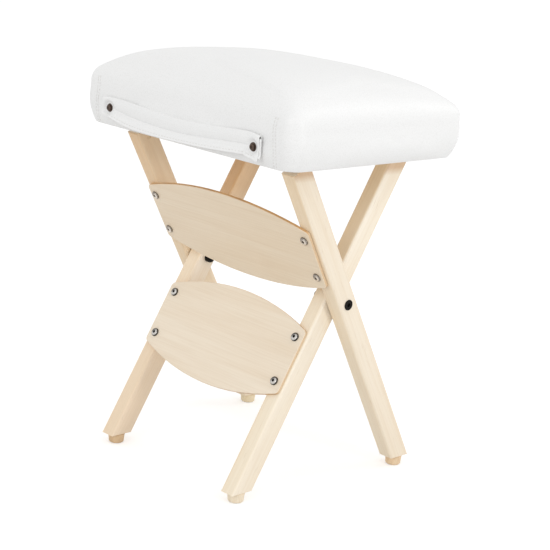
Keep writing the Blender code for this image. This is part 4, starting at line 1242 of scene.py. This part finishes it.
def place_copy(screw, name, node, axis, finish, body, sunk=0.0):
    """A copy of a screw on the node's axis, its top at the node's head or sunk below it."""
    side = Vector((0.0, 1.0, 0.0))
    if abs(axis.y) > MOSTLY:
        side = Vector((1.0, 0.0, 0.0))
    slope = side.cross(axis).normalized()
    top = reach(node, axis)[1] - sunk
    middle_side = sum(reach(node, side)) / 2
    middle_slope = sum(reach(node, slope)) / 2
    place = axis * top + side * middle_side + slope * middle_slope
    copy = copy_of(screw, (slope, side, axis), place)
    copy.name = name
    finish_piece(copy, finish, body, HEAD_ANGLE)
    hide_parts(node)


PLATE_SCREWS = (
    ("upper", UPPER_FACING, "outer_frame", satin_nickel),
    ("lower", LOWER_FACING, "inner_frame", nickel_dark_reflection),
)
for plate, facing, body, finish in PLATE_SCREWS:
    for node in [node for node in nodes if node.startswith(plate + "_plate_screw")]:
        name = node.replace("plate_screw", "button_screw")
        place_copy(button, name, node, facing, finish, body)
bpy.data.objects.remove(button)
print("button heads placed")

# %% Pan heads on the strap
PAN_RADIUS = 0.0038
PAN_HEIGHT = 0.002
PAN_DOME = 0.0016
PAN_LENGTH = 0.034
CROSS_LENGTH = 0.0036
CROSS_WIDTH = 0.0009
CROSS_DEPTH = 0.0012

pan = dome_screw("pan_screw", PAN_RADIUS, PAN_HEIGHT, PAN_DOME, SHANK_RADIUS, PAN_LENGTH)
for long_x, long_y in ((CROSS_LENGTH, CROSS_WIDTH), (CROSS_WIDTH, CROSS_LENGTH)):
    start_fresh()
    bpy.ops.mesh.primitive_cube_add(size=1.0)
    bar = bpy.context.object
    bar.scale = (long_x, long_y, 2 * CROSS_DEPTH)
    bpy.ops.object.transform_apply()
    cut_with(pan, bar)
for side_name, _ in SIDES:
    node = f"strap_screw_{side_name}"
    place_copy(pan, f"strap_pan_screw_{side_name}", node, STRAP_SIDE, bronze, "seat")
bpy.data.objects.remove(pan)
print("pan heads placed")

# %% Flat heads on the pivot
FLAT_RADIUS = 0.0067
FLAT_HEIGHT = 0.0009
FLAT_DOME = 0.0004
FLAT_SUNK = 0.0036
FLAT_RIM = 0.0012
FLAT_DISH = 0.0003
PIVOT_SHANK = 0.0039
PIVOT_SOCKET = 0.0029
PIVOT_SOCKET_DEPTH = 0.0024

for side_name, side in SIDES:
    node = f"pivot_bolt_{side_name}"
    axis = Vector((0.0, side, 0.0))
    tip, top = reach(node, axis)
    length = top - tip - FLAT_SUNK - FLAT_HEIGHT
    bolt = dome_screw("flat_bolt", FLAT_RADIUS, FLAT_HEIGHT, FLAT_DOME, PIVOT_SHANK, length)
    choose(bolt, "FACE", lambda face: face.normal.z > MOSTLY)
    bpy.ops.mesh.inset(thickness=FLAT_RIM)
    bpy.ops.transform.translate(value=(0.0, 0.0, -FLAT_DISH))
    start_fresh()
    cut_hexagon(bolt, PIVOT_SOCKET, PIVOT_SOCKET_DEPTH)
    name = f"pivot_flat_bolt_{side_name}"
    place_copy(bolt, name, node, axis, bolt_black, "outer_frame", FLAT_SUNK)
    bpy.data.objects.remove(bolt)
print("pivot bolts placed")
